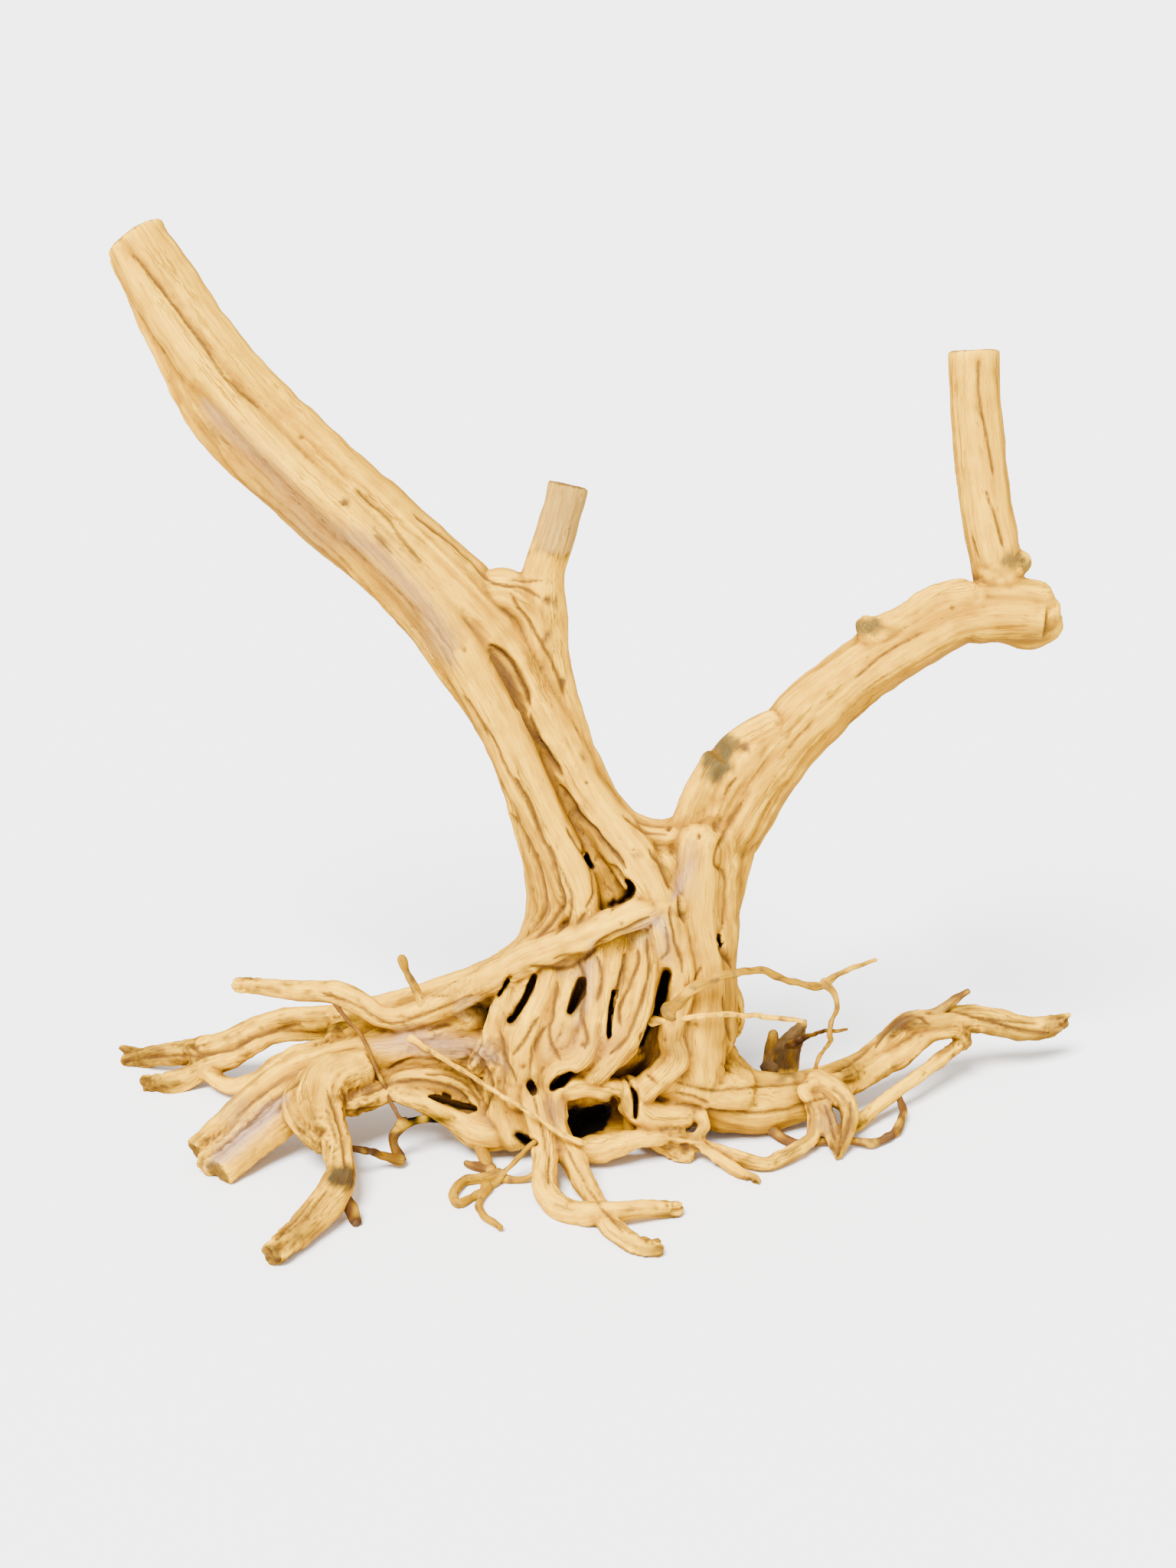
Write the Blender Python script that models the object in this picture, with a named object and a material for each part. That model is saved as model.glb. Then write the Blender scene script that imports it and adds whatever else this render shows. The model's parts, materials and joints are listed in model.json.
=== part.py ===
"""A standing piece of driftwood: a root crown with two sawn limbs and a skirt of spreading roots.

The wood grew as one piece, so it is one solid. It is built the way it grew: each strand of wood is a
round bar of changing thickness carried along its own curve, and the strands run from the limbs
through the crown into the roots, where they are fused. Slots and pockets that weather opened between the
strands are cut out afterwards, and the feet are sawn off level with the floor.

A strand's points are sighted: each is given as across and up on an upright picture plane that leans
back by PICTURE_LEAN, and as the depth behind the crown at which the line of sight meets the wood.
All sizes are in millimetres until the mesh is made.
"""
from math import cos, pi, radians, sin

import bmesh
import bpy
import numpy as np

MILLIMETRE = 0.001
PICTURE_LEAN = radians(20.0)
EYE_DISTANCE = 1500.0
EYE_UP = 182.0
EYE = np.array([
    0.0,
    EYE_UP * sin(PICTURE_LEAN) - EYE_DISTANCE * cos(PICTURE_LEAN),
    EYE_UP * cos(PICTURE_LEAN) + EYE_DISTANCE * sin(PICTURE_LEAN),
])
FOOTPRINT_CENTRE = (3.2, -2.5)

FUSING_VOXEL = 1.7
EASING_ROUNDS = 6
MASS_TRIANGLES = 7200
WOOD_COLOUR = (0.80, 0.56, 0.27, 1.0)
WOOD_ROUGHNESS = 0.62

# Thick strands, named for where they run. Each point is (across, up, depth, half thickness).
STRANDS = {
    "left_limb_core": (
        (-64, 267, 4, 19), (-42, 226, 2, 19.5), (-21, 188, 2, 21.5), (-3, 152, 2, 25),
        (7, 116, 0, 28), (8, 82, 0, 32), (4, 52, 0, 34), (0, 34, -2, 27)),
    "right_limb_core": (
        (236, 271, 30, 13.5), (224, 271, 29, 15.5), (208, 271, 27, 15), (190, 268, 24, 14),
        (170, 258, 20, 15), (150, 246, 17, 16), (130, 231, 13, 17), (112, 214, 10, 18),
        (95, 194, 8, 18.5), (80, 170, 6, 17.5), (67, 146, 6, 15.5), (56, 116, 6, 18),
        (49, 85, 4, 23), (46, 57, 2, 26), (42, 36, 0, 24)),
    "left_limb_crest": (
        (-236, 470, 61, 13.8), (-222, 448, 54, 14.8), (-204, 421, 42, 15), (-185, 397, 33, 15.2),
        (-165, 375, 26, 16), (-139, 349, 18, 17), (-113, 324, 11, 18), (-89, 302, 6, 19.2),
        (-67, 280, 3, 20.2), (-47, 258, 0, 19), (-31, 231, -4, 16.5), (-17, 205, -8, 14.5),
        (-3, 180, -12, 12), (13, 158, -16, 12.5), (27, 138, -22, 12), (37, 116, -27, 11),
        (42, 96, -29, 10), (44, 80, -29, 8)),
    "left_limb_brow": (
        (-242, 464.5, 58, 9.8), (-229, 442, 48, 11), (-211, 415, 35, 12), (-193, 391, 26, 12),
        (-172, 367, 17, 12), (-148, 343, 9, 12), (-122, 319, 1, 12), (-99, 295, -5, 12.5),
        (-80, 272, -10, 12.5), (-63, 246, -14, 12.5), (-48, 218, -18, 12.5), (-35, 190, -21, 12),
        (-23, 165, -23, 11.5), (-13, 145, -26, 11.5), (-6, 127, -29, 11), (-2, 112, -31, 9)),
    "left_limb_flange": (
        (-244, 457.5, 63, 6), (-235, 439, 56, 6.6), (-225.5, 419, 48, 7.2), (-215, 399.5, 40, 7.8),
        (-204.5, 378, 32, 8.2), (-195, 365, 27, 8.4), (-185.5, 354.5, 24, 8.4), (-165.5, 337.5, 19, 8.4),
        (-146, 319.5, 13, 8.4), (-124.5, 301.5, 8, 8.4), (-104.5, 284.5, 4, 8.4), (-84, 265.5, 2, 8.2),
        (-64, 239, 0, 8), (-53, 217, -3, 8), (-42.5, 195, -6, 8), (-37, 180, -7, 8),
        (-31.5, 164, -8, 8), (-25, 137, -10, 7.6), (-22.5, 121, -10, 7.4), (-25, 108, -8, 7),
        (-34, 94, -4, 7)),
    "left_limb_belly": (
        (-232, 448, 64, 9), (-211, 410, 52, 12), (-188, 377, 40, 14.5), (-158, 349, 30, 15.5),
        (-126, 319, 22, 16), (-97, 292, 16, 15.5), (-71, 265, 12, 15), (-46, 229, 8, 11.5)),
    "limb_stub": (
        (-10.6, 338.5, 8, 10.4), (-13, 328, 6, 10.2), (-18, 310, 3, 10), (-23, 294, 0, 10.5),
        (-25, 281, -2, 13), (-22.5, 264, -3, 11.5), (-19, 245, -5, 9.5), (-14, 227, -6, 8.5),
        (-9.5, 214, -6, 8), (-5, 200, -6, 8), (2, 186, -5, 8), (9.5, 172, -4, 8), (19, 161, -3, 8),
        (30, 156.5, -2, 8), (41, 155.5, -1, 8), (52, 159, 0, 9)),
    "stub_shoulder": (
        (-50, 282, 0, 12), (-39, 281.5, -2, 12), (-28, 272, -4, 11.5), (-24, 252, -5, 10)),
    "left_trunk_outer": (
        (-33, 190, 2, 10.5), (-27, 164, 4, 10.5), (-22.5, 136, 5, 11), (-21.5, 117, 6, 11),
        (-28, 96, 8, 10.8), (-42, 84, 11, 10.8), (-59, 77.5, 15, 10), (-78, 71.5, 21, 8.6),
        (-100, 66.5, 29, 7.2), (-120, 61, 37, 7.2), (-140, 59, 45, 7), (-155, 58.8, 52, 6.6),
        (-168, 55.5, 57, 6.8), (-180, 50, 60, 7.2), (-192, 44.5, 62, 7.8), (-205, 42, 66, 7.4),
        (-215, 41.3, 70, 6.4), (-226, 40.2, 76, 5.6), (-240, 37.8, 83, 4.2)),
    "left_trunk_second": (
        (-36, 192, -14, 7), (-29, 168, -18, 7.5), (-21, 148, -22, 7.5), (-15, 130, -25, 7),
        (-13, 115, -26, 7), (-20, 102, -24, 7), (-36, 90, -17, 7.5), (-56, 80, -9, 7)),
    "left_root_low_fork": (
        (-136, 52, 42, 4.4), (-152, 52, 47, 3.8), (-166, 49.5, 50, 4), (-177, 43.5, 52, 4.6),
        (-189, 38.5, 54, 5.8), (-200, 34, 54, 5.6), (-210, 28, 53, 5.8), (-220, 25.5, 51, 5.8),
        (-231, 27, 51, 3.6)),
    "belt_root": (
        (44, 118, -26, 8), (33, 117, -31, 8), (18, 112, -36, 8), (3, 105, -38, 7.5),
        (-14, 98, -37, 7.4), (-31, 91, -33, 7.8), (-48, 82, -27, 8), (-64, 73, -20, 8),
        (-80, 65, -13, 7.2), (-94, 60, -6, 6.6), (-107, 60, -2, 6), (-116, 65, 0, 6),
        (-125, 70.5, 2, 6), (-135, 73.5, 5, 5.6), (-150, 74, 8, 4.9), (-166, 75.5, 12, 4.7),
        (-182, 77.5, 16, 4.2)),
    "looped_root": (
        (-82, 56, -6, 7), (-96, 52, 1, 6.5), (-110, 49, 8, 5.6), (-125, 46, 15, 5),
        (-140, 43.5, 21, 4.8), (-151, 41.5, 25, 4.6), (-161, 36.5, 30, 4.6), (-170, 29.5, 34, 4.6),
        (-178, 25.3, 37, 4.2), (-187, 24, 40, 4), (-195, 28.5, 47, 3.9), (-203, 36, 55, 3.7),
        (-208, 43, 61, 3.7)),
    "wedge_root_upper": (
        (-92, 44, -6, 9), (-112, 41.5, -4, 9), (-130, 38, -2, 8.8), (-148, 33.5, 0, 8.6),
        (-164, 25, -6, 8.4), (-179, 13, -15, 8.2), (-191, 2, -25, 8), (-204.5, -11, -36, 7.6)),
    "wedge_root_lower": (
        (-146, 16, -18, 8), (-161, 3.5, -29, 7.6), (-174, -6.5, -40, 7.4), (-192.5, -21, -56, 7.4)),
    "wedge_root_heart": (
        (-134, 30, 2, 9), (-150, 23, 0, 8), (-165, 12.5, -11, 7), (-179, 1.5, -22, 6.2),
        (-195, -12.5, -38, 4.8)),
    "front_leg": (
        (-116, 34, -10, 11), (-134, 25, -22, 13.5), (-138, 10, -38, 11.5), (-132, -5, -55, 8.4),
        (-129.5, -18, -72, 7), (-132, -30, -88, 9), (-141, -41.5, -105, 8.8),
        (-152, -52.5, -122, 7.6), (-165.5, -64.5, -141, 6.8)),
    "front_leg_lobe": (
        (-146, 26, -18, 7.6), (-152, 15, -28, 7.6), (-147, 3, -42, 7), (-138, -6, -54, 5.5)),
    "left_mass": (
        (-30, 48, -8, 22), (-52, 46, -6, 15), (-75, 46, -4, 12), (-98, 42, -2, 11),
        (-120, 36, -4, 11)),
    "arch_upper": (
        (-48, 12, -22, 9), (-58, 20, -20, 8), (-70, 26, -18, 6.2), (-83, 28, -18, 5.6),
        (-97, 26, -18, 6), (-110, 19.5, -22, 6), (-124, 13, -32, 5)),
    "arch_lower": (
        (-40, 2, -28, 10.5), (-56, 1.5, -28, 10), (-69, 8.5, -27, 7.4), (-82, 15, -26, 5.8),
        (-96, 19, -24, 4.6), (-108, 22, -22, 3.4)),
    "base_lobe_left": (
        (-38, 56, -22, 13), (-42, 36, -24, 13), (-42, 17, -26, 13), (-38, 2.5, -29, 12.4)),
    "front_root_right_bend": (
        (-30, 58, -34, 7), (-31, 42, -37, 7), (-30, 26, -39, 7), (-26.5, 10, -44, 7),
        (-23, -4, -52, 6.8), (-22, -16, -62, 6.4), (-22.3, -28, -75, 6.4), (-16.5, -38, -88, 6.4),
        (-5, -42, -97, 5.8), (10, -41.8, -101, 5.2), (28, -40.2, -97, 4.8), (46, -39.6, -90, 4.6)),
    "front_root_straight": (
        (-18, 26, -34, 8), (-18.5, 9, -40, 7.6), (-13.5, -3.5, -48, 7), (-7.7, -14, -58, 6.4),
        (-2.2, -26, -70, 5.8), (4, -37, -85, 5.4), (10, -47, -104, 5.4), (19, -55, -120, 5.2),
        (28, -59, -128, 4.9), (36, -60.2, -129, 4.8)),
    "crown_strand_a": (
        (-42, 88, -22, 6), (-42, 74, -26, 6.5), (-46, 60, -28, 6.5), (-50, 46, -28, 7),
        (-56, 36, -24, 7)),
    "crown_strand_b": (
        (-18, 92, -30, 8), (-21, 78, -32, 7), (-27, 64, -34, 7.5), (-32, 50, -35, 9),
        (-33, 36, -36, 9), (-36, 20, -34, 9)),
    "crown_strand_c": (
        (6, 98, -31, 6.5), (5, 82, -34, 6.5), (4, 66, -36, 6.5), (1, 51, -38, 7),
        (-5, 40, -39, 8), (-16, 36, -38, 7), (-22, 26, -37, 6)),
    "crown_strand_d": (
        (19, 100, -28, 4.6), (17.5, 86, -32, 4.4), (15, 71, -35, 4.2), (14, 59, -37, 4.2),
        (13, 46, -38, 5), (8, 36, -38, 5)),
    "crown_strand_e": (
        (31, 104, -29, 6), (31, 90, -33, 6), (29, 76, -37, 6), (26, 62, -39, 6.2),
        (20, 49, -40, 6.4), (11, 38, -39, 6.4), (4, 30, -37, 6)),
    "crown_strand_f": (
        (44, 110, -29, 6.5), (47, 94, -30, 7), (49, 78, -31, 6.5), (47, 64, -30, 6.5),
        (44, 52, -28, 7.5), (46, 40, -28, 8), (38, 30, -32, 7)),
    "crown_plate_right": (
        (57, 150, -12, 13), (55, 130, -15, 13), (55, 110, -17, 13), (58, 92, -18, 14),
        (59, 72, -18, 14.5), (57, 52, -18, 15), (58, 34, -17, 14)),
    "crown_edge_right": (
        (79, 152, 4, 9), (74.5, 137, 4, 9), (69, 113, 6, 9.4), (67, 92, 4, 9), (66.5, 74, 2, 8.5),
        (66.5, 56, 0, 9), (69.5, 40, -2, 8.2), (83, 24.5, 0, 9), (104, 21.5, 6, 9.5)),
    "crown_ear": (
        (68, 84, 8, 5), (74, 71.5, 8, 6), (76.2, 61, 7, 6), (75, 54, 6, 5.4)),
    "fork_web": (
        (12, 156, -4, 12), (30, 148, -5, 14), (48, 148, -4, 13), (62, 158, 0, 13)),
    "fork_bridge": (
        (24, 156, -14, 6), (34, 153, -16, 6), (46, 154, -15, 6), (58, 155, -12, 6)),
    "fork_spur": (
        (50, 156, -6, 8), (57, 174, -6, 8), (63, 187, -5, 7.5), (68, 196.5, -5, 7)),
    "right_limb_under": (
        (64.5, 118, 12, 8.5), (72.5, 140, 14, 9), (86, 162, 14, 9.5), (99, 184, 14, 9.5),
        (114, 205, 16, 9.5), (134, 223.5, 20, 9), (155, 240, 24, 8.8), (176, 253, 28, 8.6),
        (198, 264.5, 31, 8.6), (214, 265, 32, 9)),
    "knee_swelling": (
        (73, 195, 2, 9.5), (84, 204, 2, 10), (96, 210.5, 3, 10)),
    "knot_above_knee": (
        (146, 263.5, 15, 6.2), (150, 260, 15, 8.6), (158, 261, 17, 9.5)),
    "limb_lip": (
        (152, 261, 16, 8.6), (167, 268.5, 18, 8), (181, 278.5, 20, 7.6), (196, 281.5, 22, 7.8)),
    "elbow_upper_lobe": (
        (206, 279, 27, 10), (222, 279.5, 28, 10.6), (234, 278, 29, 10)),
    "elbow_lower_lobe": (
        (206, 267, 28, 9), (218, 265, 29, 9.8), (229, 263.5, 31, 10.6), (238, 266, 33, 10)),
    "upright_stub": (
        (201.5, 408.6, 52, 12.9), (202, 390, 48, 12.8), (203, 372, 45, 12.9), (205.4, 347, 41, 13),
        (208.8, 321, 37, 13.1), (212.5, 301, 35, 13.3), (215, 286, 33, 13)),
    "upright_collar": (
        (211, 293, 30, 9), (221, 296, 31, 8), (226, 298, 32, 6)),
    "right_root": (
        (38, 27, -10, 15.5), (60, 20, -6, 17.4), (82, 16.2, 0, 16.6), (104, 17.8, 8, 14),
        (124, 24, 18, 11.2), (139, 31, 28, 8.8), (149.5, 38.8, 38, 7.2), (157, 47.6, 45, 6.4),
        (167, 56.5, 50, 6.2), (180, 57.8, 56, 6.4), (192, 59.2, 62, 7.2), (203, 59.2, 67, 7.2),
        (216, 57, 73, 6.9), (229, 54.3, 78, 6.4), (239, 55, 82, 5.6), (248, 57, 86, 3.4)),
    "right_root_lower": (
        (118, 18, 8, 8), (134, 25, 18, 7.2), (149, 33, 30, 6.8), (162, 40, 40, 6.2),
        (174, 48.5, 48, 4.8), (184, 52.5, 53, 4), (193, 52.5, 57, 4.2), (197, 48.5, 58, 3.8)),
    "right_leg": (
        (121, 25, 4, 8.6), (130.5, 19, -4, 8.4), (134.5, 9, -13, 7.8), (134.5, 0, -21, 6.2),
        (132.5, -6.5, -27, 5), (130, -11.5, -32, 4.4)),
    "right_prop": (
        (197.5, 47, 57, 3.6), (190.5, 43, 54, 3.7), (181, 36, 44, 3.7), (171, 28, 32, 3.7),
        (161, 21.3, 21, 3.6), (151, 13.6, 11, 3.6), (142, 6.2, 2, 3.6), (135, 1.2, -8, 3.6)),
    "sill_root": (
        (-3, -8.5, -37, 6.8), (6, -8.5, -38, 7.2), (15, -6, -38, 6.4), (25, -3.8, -37, 5),
        (37, -2.6, -35, 4), (50, -3.2, -33, 3.8), (60, -6.6, -32, 3.8), (70, -10.2, -34, 3.8),
        (82, -14.2, -40, 3.8), (93, -16.6, -44, 3.8), (102, -13, -38, 3.8), (111, -7.5, -29, 3.6),
        (117, -2, -21, 3.5), (118, 8, -15, 3.3), (115.5, 16, -10, 3.3), (112, 22.5, -6, 3.3),
        (124, 26.5, 3, 3.2), (138, 31, 15, 3.2)),
    "sill_root_fork": (
        (59, 8, -27, 3.8), (61, 3, -29, 3.4), (57, -3, -32, 3.4), (60, -8, -35, 3.2),
        (71, -15.5, -42, 3.2), (80, -21.5, -51, 3.2), (88, -25, -57, 2.8)),
    "base_lobe_right": (
        (20, 22, -32, 8), (27, 12, -30, 8.5), (36, 8.5, -28, 8.5), (48, 8.5, -25, 8)),
    "base_lobe_rear": (
        (30, 6, -20, 12), (41, -4, -26, 7.4), (47.5, -8.5, -30, 7), (51.5, -11, -33, 5.4)),
    "cave_rim_left": (
        (-22, 16, -36, 7), (-16, 20, -36, 6), (-7, 24, -36, 6), (4, 24, -36, 6), (13, 22, -36, 6)),
    "back_ridge_left": (
        (-42, 220, 20, 12), (-24, 172, 25, 14), (-6, 130, 30, 16), (-2, 95, 36, 15),
        (-18, 70, 46, 13), (-40, 58, 62, 11), (-62, 54, 86, 8.5), (-84, 53, 117, 7)),
    "back_ridge_right": (
        (94, 192, 20, 12), (69, 145, 25, 13), (53, 106, 31, 15), (46, 77, 44, 14),
        (45, 61, 68, 11), (43, 57, 98, 8.5), (38, 58, 131, 7)),
    "back_root_middle": (
        (8, 72, 34, 15), (-2, 57, 58, 11), (-6, 53, 84, 8.5), (-2, 54, 110, 7),
        (6, 57.5, 131, 6)),
    "back_web": (
        (20, 140, 22, 16), (22, 110, 28, 17), (22, 80, 32, 18), (20, 58, 34, 17)),
    "back_root_right": (
        (56, 38, 20, 13), (74, 25, 32, 10.5), (90, 21, 42, 9), (104, 26, 54, 7.5)),
    "broken_stump": (
        (101.5, 26, 46, 7.6), (102, 33, 48, 7.8), (103, 40, 48, 7.6), (105.5, 46, 47, 6.2),
        (109, 51.5, 46, 4.4), (112.5, 57, 46, 2.9)),
    "left_web": (
        (-24, 90, -16, 11), (-42, 78, -8, 10), (-62, 69, 0, 8.5), (-82, 62, 6, 8), (-100, 58, 12, 7),
        (-118, 53, 17, 6), (-132, 50.5, 22, 6)),
    "left_backing": (
        (-30, 24, 6, 18), (-48, 18, 6, 15), (-66, 17, 4, 12), (-84, 21, 2, 9), (-104, 26, 0, 8),
        (-122, 26, -4, 8)),
    "cave_back": (
        (-34, 12, 1, 13), (-10, 10.5, 0, 13.5), (14, 10.5, 0, 13.5), (38, 12, -1, 13)),
}

# Thin roots, joined on after the mass has been fused and thinned to few faces.
ROOTLETS = {
    "hanging_thread": (
        (-134, 71, 3, 1.7), (-128, 61, -4, 1.5), (-120, 53, -10, 1.4), (-114, 41, -16, 1.4),
        (-109, 29, -22, 1.4), (-102, 14, -28, 1.4), (-96, 5, -32, 1.6)),
    "thread_bridge": (
        (-97.5, 4, -33, 2.3), (-90, 6, -30, 2.2), (-82, 8, -27, 2.4), (-72, 6, -26, 2.6)),
    "thread_foot": (
        (-96, 5, -32, 2.2), (-102, -3, -34, 2.6), (-100, -10, -36, 2.6), (-98, -14.5, -40, 3),
        (-108, -12, -43, 2.2), (-118, -9, -51, 2.1), (-129, -7, -58, 2)),
    "long_diagonal": (
        (-92, 49, -10, 1.9), (-71, 35.5, -28, 1.7), (-50, 22.5, -45, 1.6), (-30, 10, -56, 1.6),
        (-14, -0.5, -60, 1.8), (-2, -6, -58, 2)),
    "upright_rootlet": (
        (-84, 64, -14, 3), (-88, 72, -12, 2.4), (-93, 81, -11, 2.1), (-97.5, 90, -11, 2.6)),
    "knee_knob": (
        (-129, -32, -90, 3.6), (-123, -41, -96, 3.2), (-121.5, -47, -100, 2.8)),
    "tangle_stem": (
        (-58, 4, -28, 3.4), (-57, -5, -33, 3.2), (-54.5, -13, -39, 3), (-51, -19, -46, 3),
        (-47, -23.6, -54, 2.8), (-35, -24.5, -57, 1.9), (-27.5, -21, -56, 1.9), (-21, -15, -60, 1.9)),
    "tangle_loop": (
        (-47, -23.6, -54, 2.8), (-56, -24.5, -56, 2.8), (-65, -25.5, -59, 2.7), (-70.4, -32, -72, 2.7),
        (-68, -37, -82, 2.6), (-60, -33.5, -74, 2.3), (-47, -25, -59, 2), (-35.7, -12.5, -54, 1.8),
        (-24, -2, -52, 1.8)),
    "tangle_tail": (
        (-53, -29, -66, 2.4), (-57, -36, -79, 2.3), (-55, -43, -93, 2.1), (-49.5, -47.3, -101, 2),
        (-45.8, -49.8, -106, 1.9)),
    "tangle_spur": (
        (-51, -19.5, -46, 2.4), (-57, -18, -43, 2.4), (-63, -16, -39, 2)),
    "branching_whip": (
        (44, 64, -32, 4), (49, 71, -37, 3.2), (58, 77.5, -38, 2.8), (70, 82, -34, 2.5),
        (80, 83.5, -29, 2.3), (90, 84.5, -24, 2.2), (100, 81, -20, 2.1), (110, 78, -17, 2.1),
        (119, 76, -15, 2.2), (126, 79, -13, 2.1), (133, 84, -11, 1.9), (142, 87.5, -8, 1.7),
        (150, 90, -5, 1.3)),
    "whip_branch": (
        (124, 78, -14, 2), (129, 72, -14, 1.8), (129.5, 65, -13, 1.7), (127, 58, -11, 1.6),
        (126.3, 51, -9, 1.6), (127.5, 47.3, -7, 1.4), (123, 43, -2, 1.3), (120, 38, 4, 1.4),
        (118, 31, 9, 1.5)),
    "straight_whip": (
        (34, 58, -30, 2), (50, 59.8, -36, 1.8), (65, 61.2, -37, 1.7), (81, 61.2, -30, 1.7),
        (97, 59.6, -20, 1.6), (112, 58, -10, 1.5)),
    "stump_prong": (
        (97.5, 36, 48, 5.2), (96.3, 43, 50, 4), (96.8, 51, 50, 2.6)),
    "stump_twig": (
        (106, 46, 44, 2.4), (115, 50.7, 34, 1.6), (122.5, 53, 18, 1.4), (129, 53.2, -9, 1.4),
        (135.5, 53.7, -9, 1)),
    "far_loop": (
        (93, 6, -4, 3.2), (100, -1.5, -11, 2.8), (108, -5.8, -18, 2.6), (120, -4.6, -17, 2.4),
        (131, -4.2, -19, 2.3), (140, -4.2, -18, 2.3), (149, -5.8, -19, 2.4), (157, -2.6, -11, 2.3),
        (163, 4.5, 2, 2.4), (164.5, 12, 13, 2.2), (162, 20, 23, 2)),
    "right_spur": (
        (178, 60, 56, 3), (186, 65, 58, 2.6), (192, 70, 59, 2.4), (198, 73.2, 60, 1.8)),
    "rear_whip_left": (
        (-40, 62, 58, 3.4), (-58, 66, 74, 2.6), (-74, 66, 92, 2.2), (-92, 60, 104, 1.8),
        (-108, 58, 112, 1.5)),
    "rear_whip_right": (
        (48, 64, 60, 3.4), (58, 56, 82, 2.6), (62, 52, 100, 2.1), (56, 52, 116, 1.7)),
    "rear_whip_high": (
        (30, 100, 42, 3.2), (26, 92, 58, 2.6), (14, 84, 70, 2.1), (4, 82, 84, 1.7),
        (2, 76, 98, 1.4)),
}

# Slots and pockets, sunk along the sight from their first depth to their second.
# Each is (across, up, half width) along its length, then (front depth, back depth).
POCKETS = {
    "limb_slit": (((-53, 254, 2.4), (-45, 247, 4.2), (-38, 237, 4.2), (-32, 225, 3), (-28, 212, 2),
                   (-22, 199, 2), (-14, 187, 1.8)), (-40, -4)),
    "knot_hole": (((-1.5, 144, 1.9), (2, 138.5, 1.9)), (-50, -10)),
    "eye_hole": (((21, 131, 2.2), (23, 127, 3), (20, 122, 1.6), (12, 118.5, 1.2)), (-50, -14)),
    "tall_slot": (((41, 83, 3.2), (38.5, 72, 3.4), (35, 62, 2.6), (31, 54, 1.8), (27, 45, 1)), (-60, -6)),
    "left_slot": (((-28, 82, 2.4), (-31, 74, 2.8), (-35, 66, 2.6), (-40.5, 58.5, 2.8)), (-60, -20)),
    "left_slit": (((-40, 82, 1.1), (-43.5, 77, 1.9), (-47, 70.5, 1)), (-60, -16)),
    "oval_window": (((-4, 80, 2.6), (-5.5, 72, 4), (-9, 63, 2.8)), (-60, -26)),
    "middle_slit": (((14, 76, 0.9), (11.5, 64, 1.5), (11, 50, 1.3)), (-60, -24)),
    "low_window": (((-18.4, 24, 3.2), (-13.5, 27.5, 3.8), (-8.7, 31, 2.2)), (-70, -16)),
    "cave": (((-4, 0, 5.5), (-4, 6, 9), (3, 8.5, 8.5), (7, 12, 5.5)), (-90, -14)),
    "right_nick": (((19.6, 28, 1), (22.9, 23, 1.4), (24.7, 18.5, 2.2), (24.7, 7.3, 1.3)), (-60, -22)),
    "arch_slot": (((-82.3, 18.8, 1.8), (-75, 16.3, 2.8), (-66, 13, 2.8), (-59, 12.4, 2.4)), (-60, -16)),
    "under_hollow": (((-37, -1, 2.6), (-32, -4, 3), (-27.5, -6, 2.6)), (-90, -30)),
    "side_slit": (((68.5, 106, 0.9), (68, 101, 1.6), (69.5, 97, 0.8)), (-40, -6)),
    "broken_tube": (((13, 17, 3), (14.6, 16, 3)), (-60, -30)),
    "brown_pocket": (((-31, 26, 1.8), (-30, 23, 2), (-28, 21, 1.8)), (-60, -36)),
}

FLAT_ENDS = {"left_limb_crest", "left_limb_brow", "left_limb_flange", "limb_stub", "upright_stub",
             "front_leg", "wedge_root_upper", "wedge_root_lower", "fork_spur", "right_limb_core"}


def sighted(points):
    """World points and half thicknesses where the lines of sight meet the given depths."""
    across, up, depth, half = np.array(points, float).T
    plane = np.stack([across, up * sin(PICTURE_LEAN), up * cos(PICTURE_LEAN)], axis=1)
    nearness = (depth - EYE[1]) / (plane[:, 1] - EYE[1])
    return EYE + nearness[:, None] * (plane - EYE), half * nearness


def smooth_curve(rows, spacing):
    """Rows read evenly along the Catmull-Rom curve through the given rows, whose first 3 columns are a place."""
    padded = np.vstack([2 * rows[0] - rows[1], rows, 2 * rows[-1] - rows[-2]])
    t = np.linspace(0, 1, 9)[:-1, None]
    pieces = []
    for a, b, c, d in zip(padded, padded[1:], padded[2:], padded[3:]):
        pieces.append(0.5 * (2 * b + (c - a) * t + (2 * a - 5 * b + 4 * c - d) * t**2
                             + (3 * b - a - 3 * c + d) * t**3))
    fine = np.vstack(pieces + [rows[-1:]])
    along = np.concatenate([[0], np.cumsum(np.linalg.norm(np.diff(fine[:, :3], axis=0), axis=1))])
    count = max(3, int(round(along[-1] / spacing)) + 1)
    wanted = np.linspace(0, along[-1], count)
    return np.stack([np.interp(wanted, along, column) for column in fine.T], axis=1)


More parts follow.
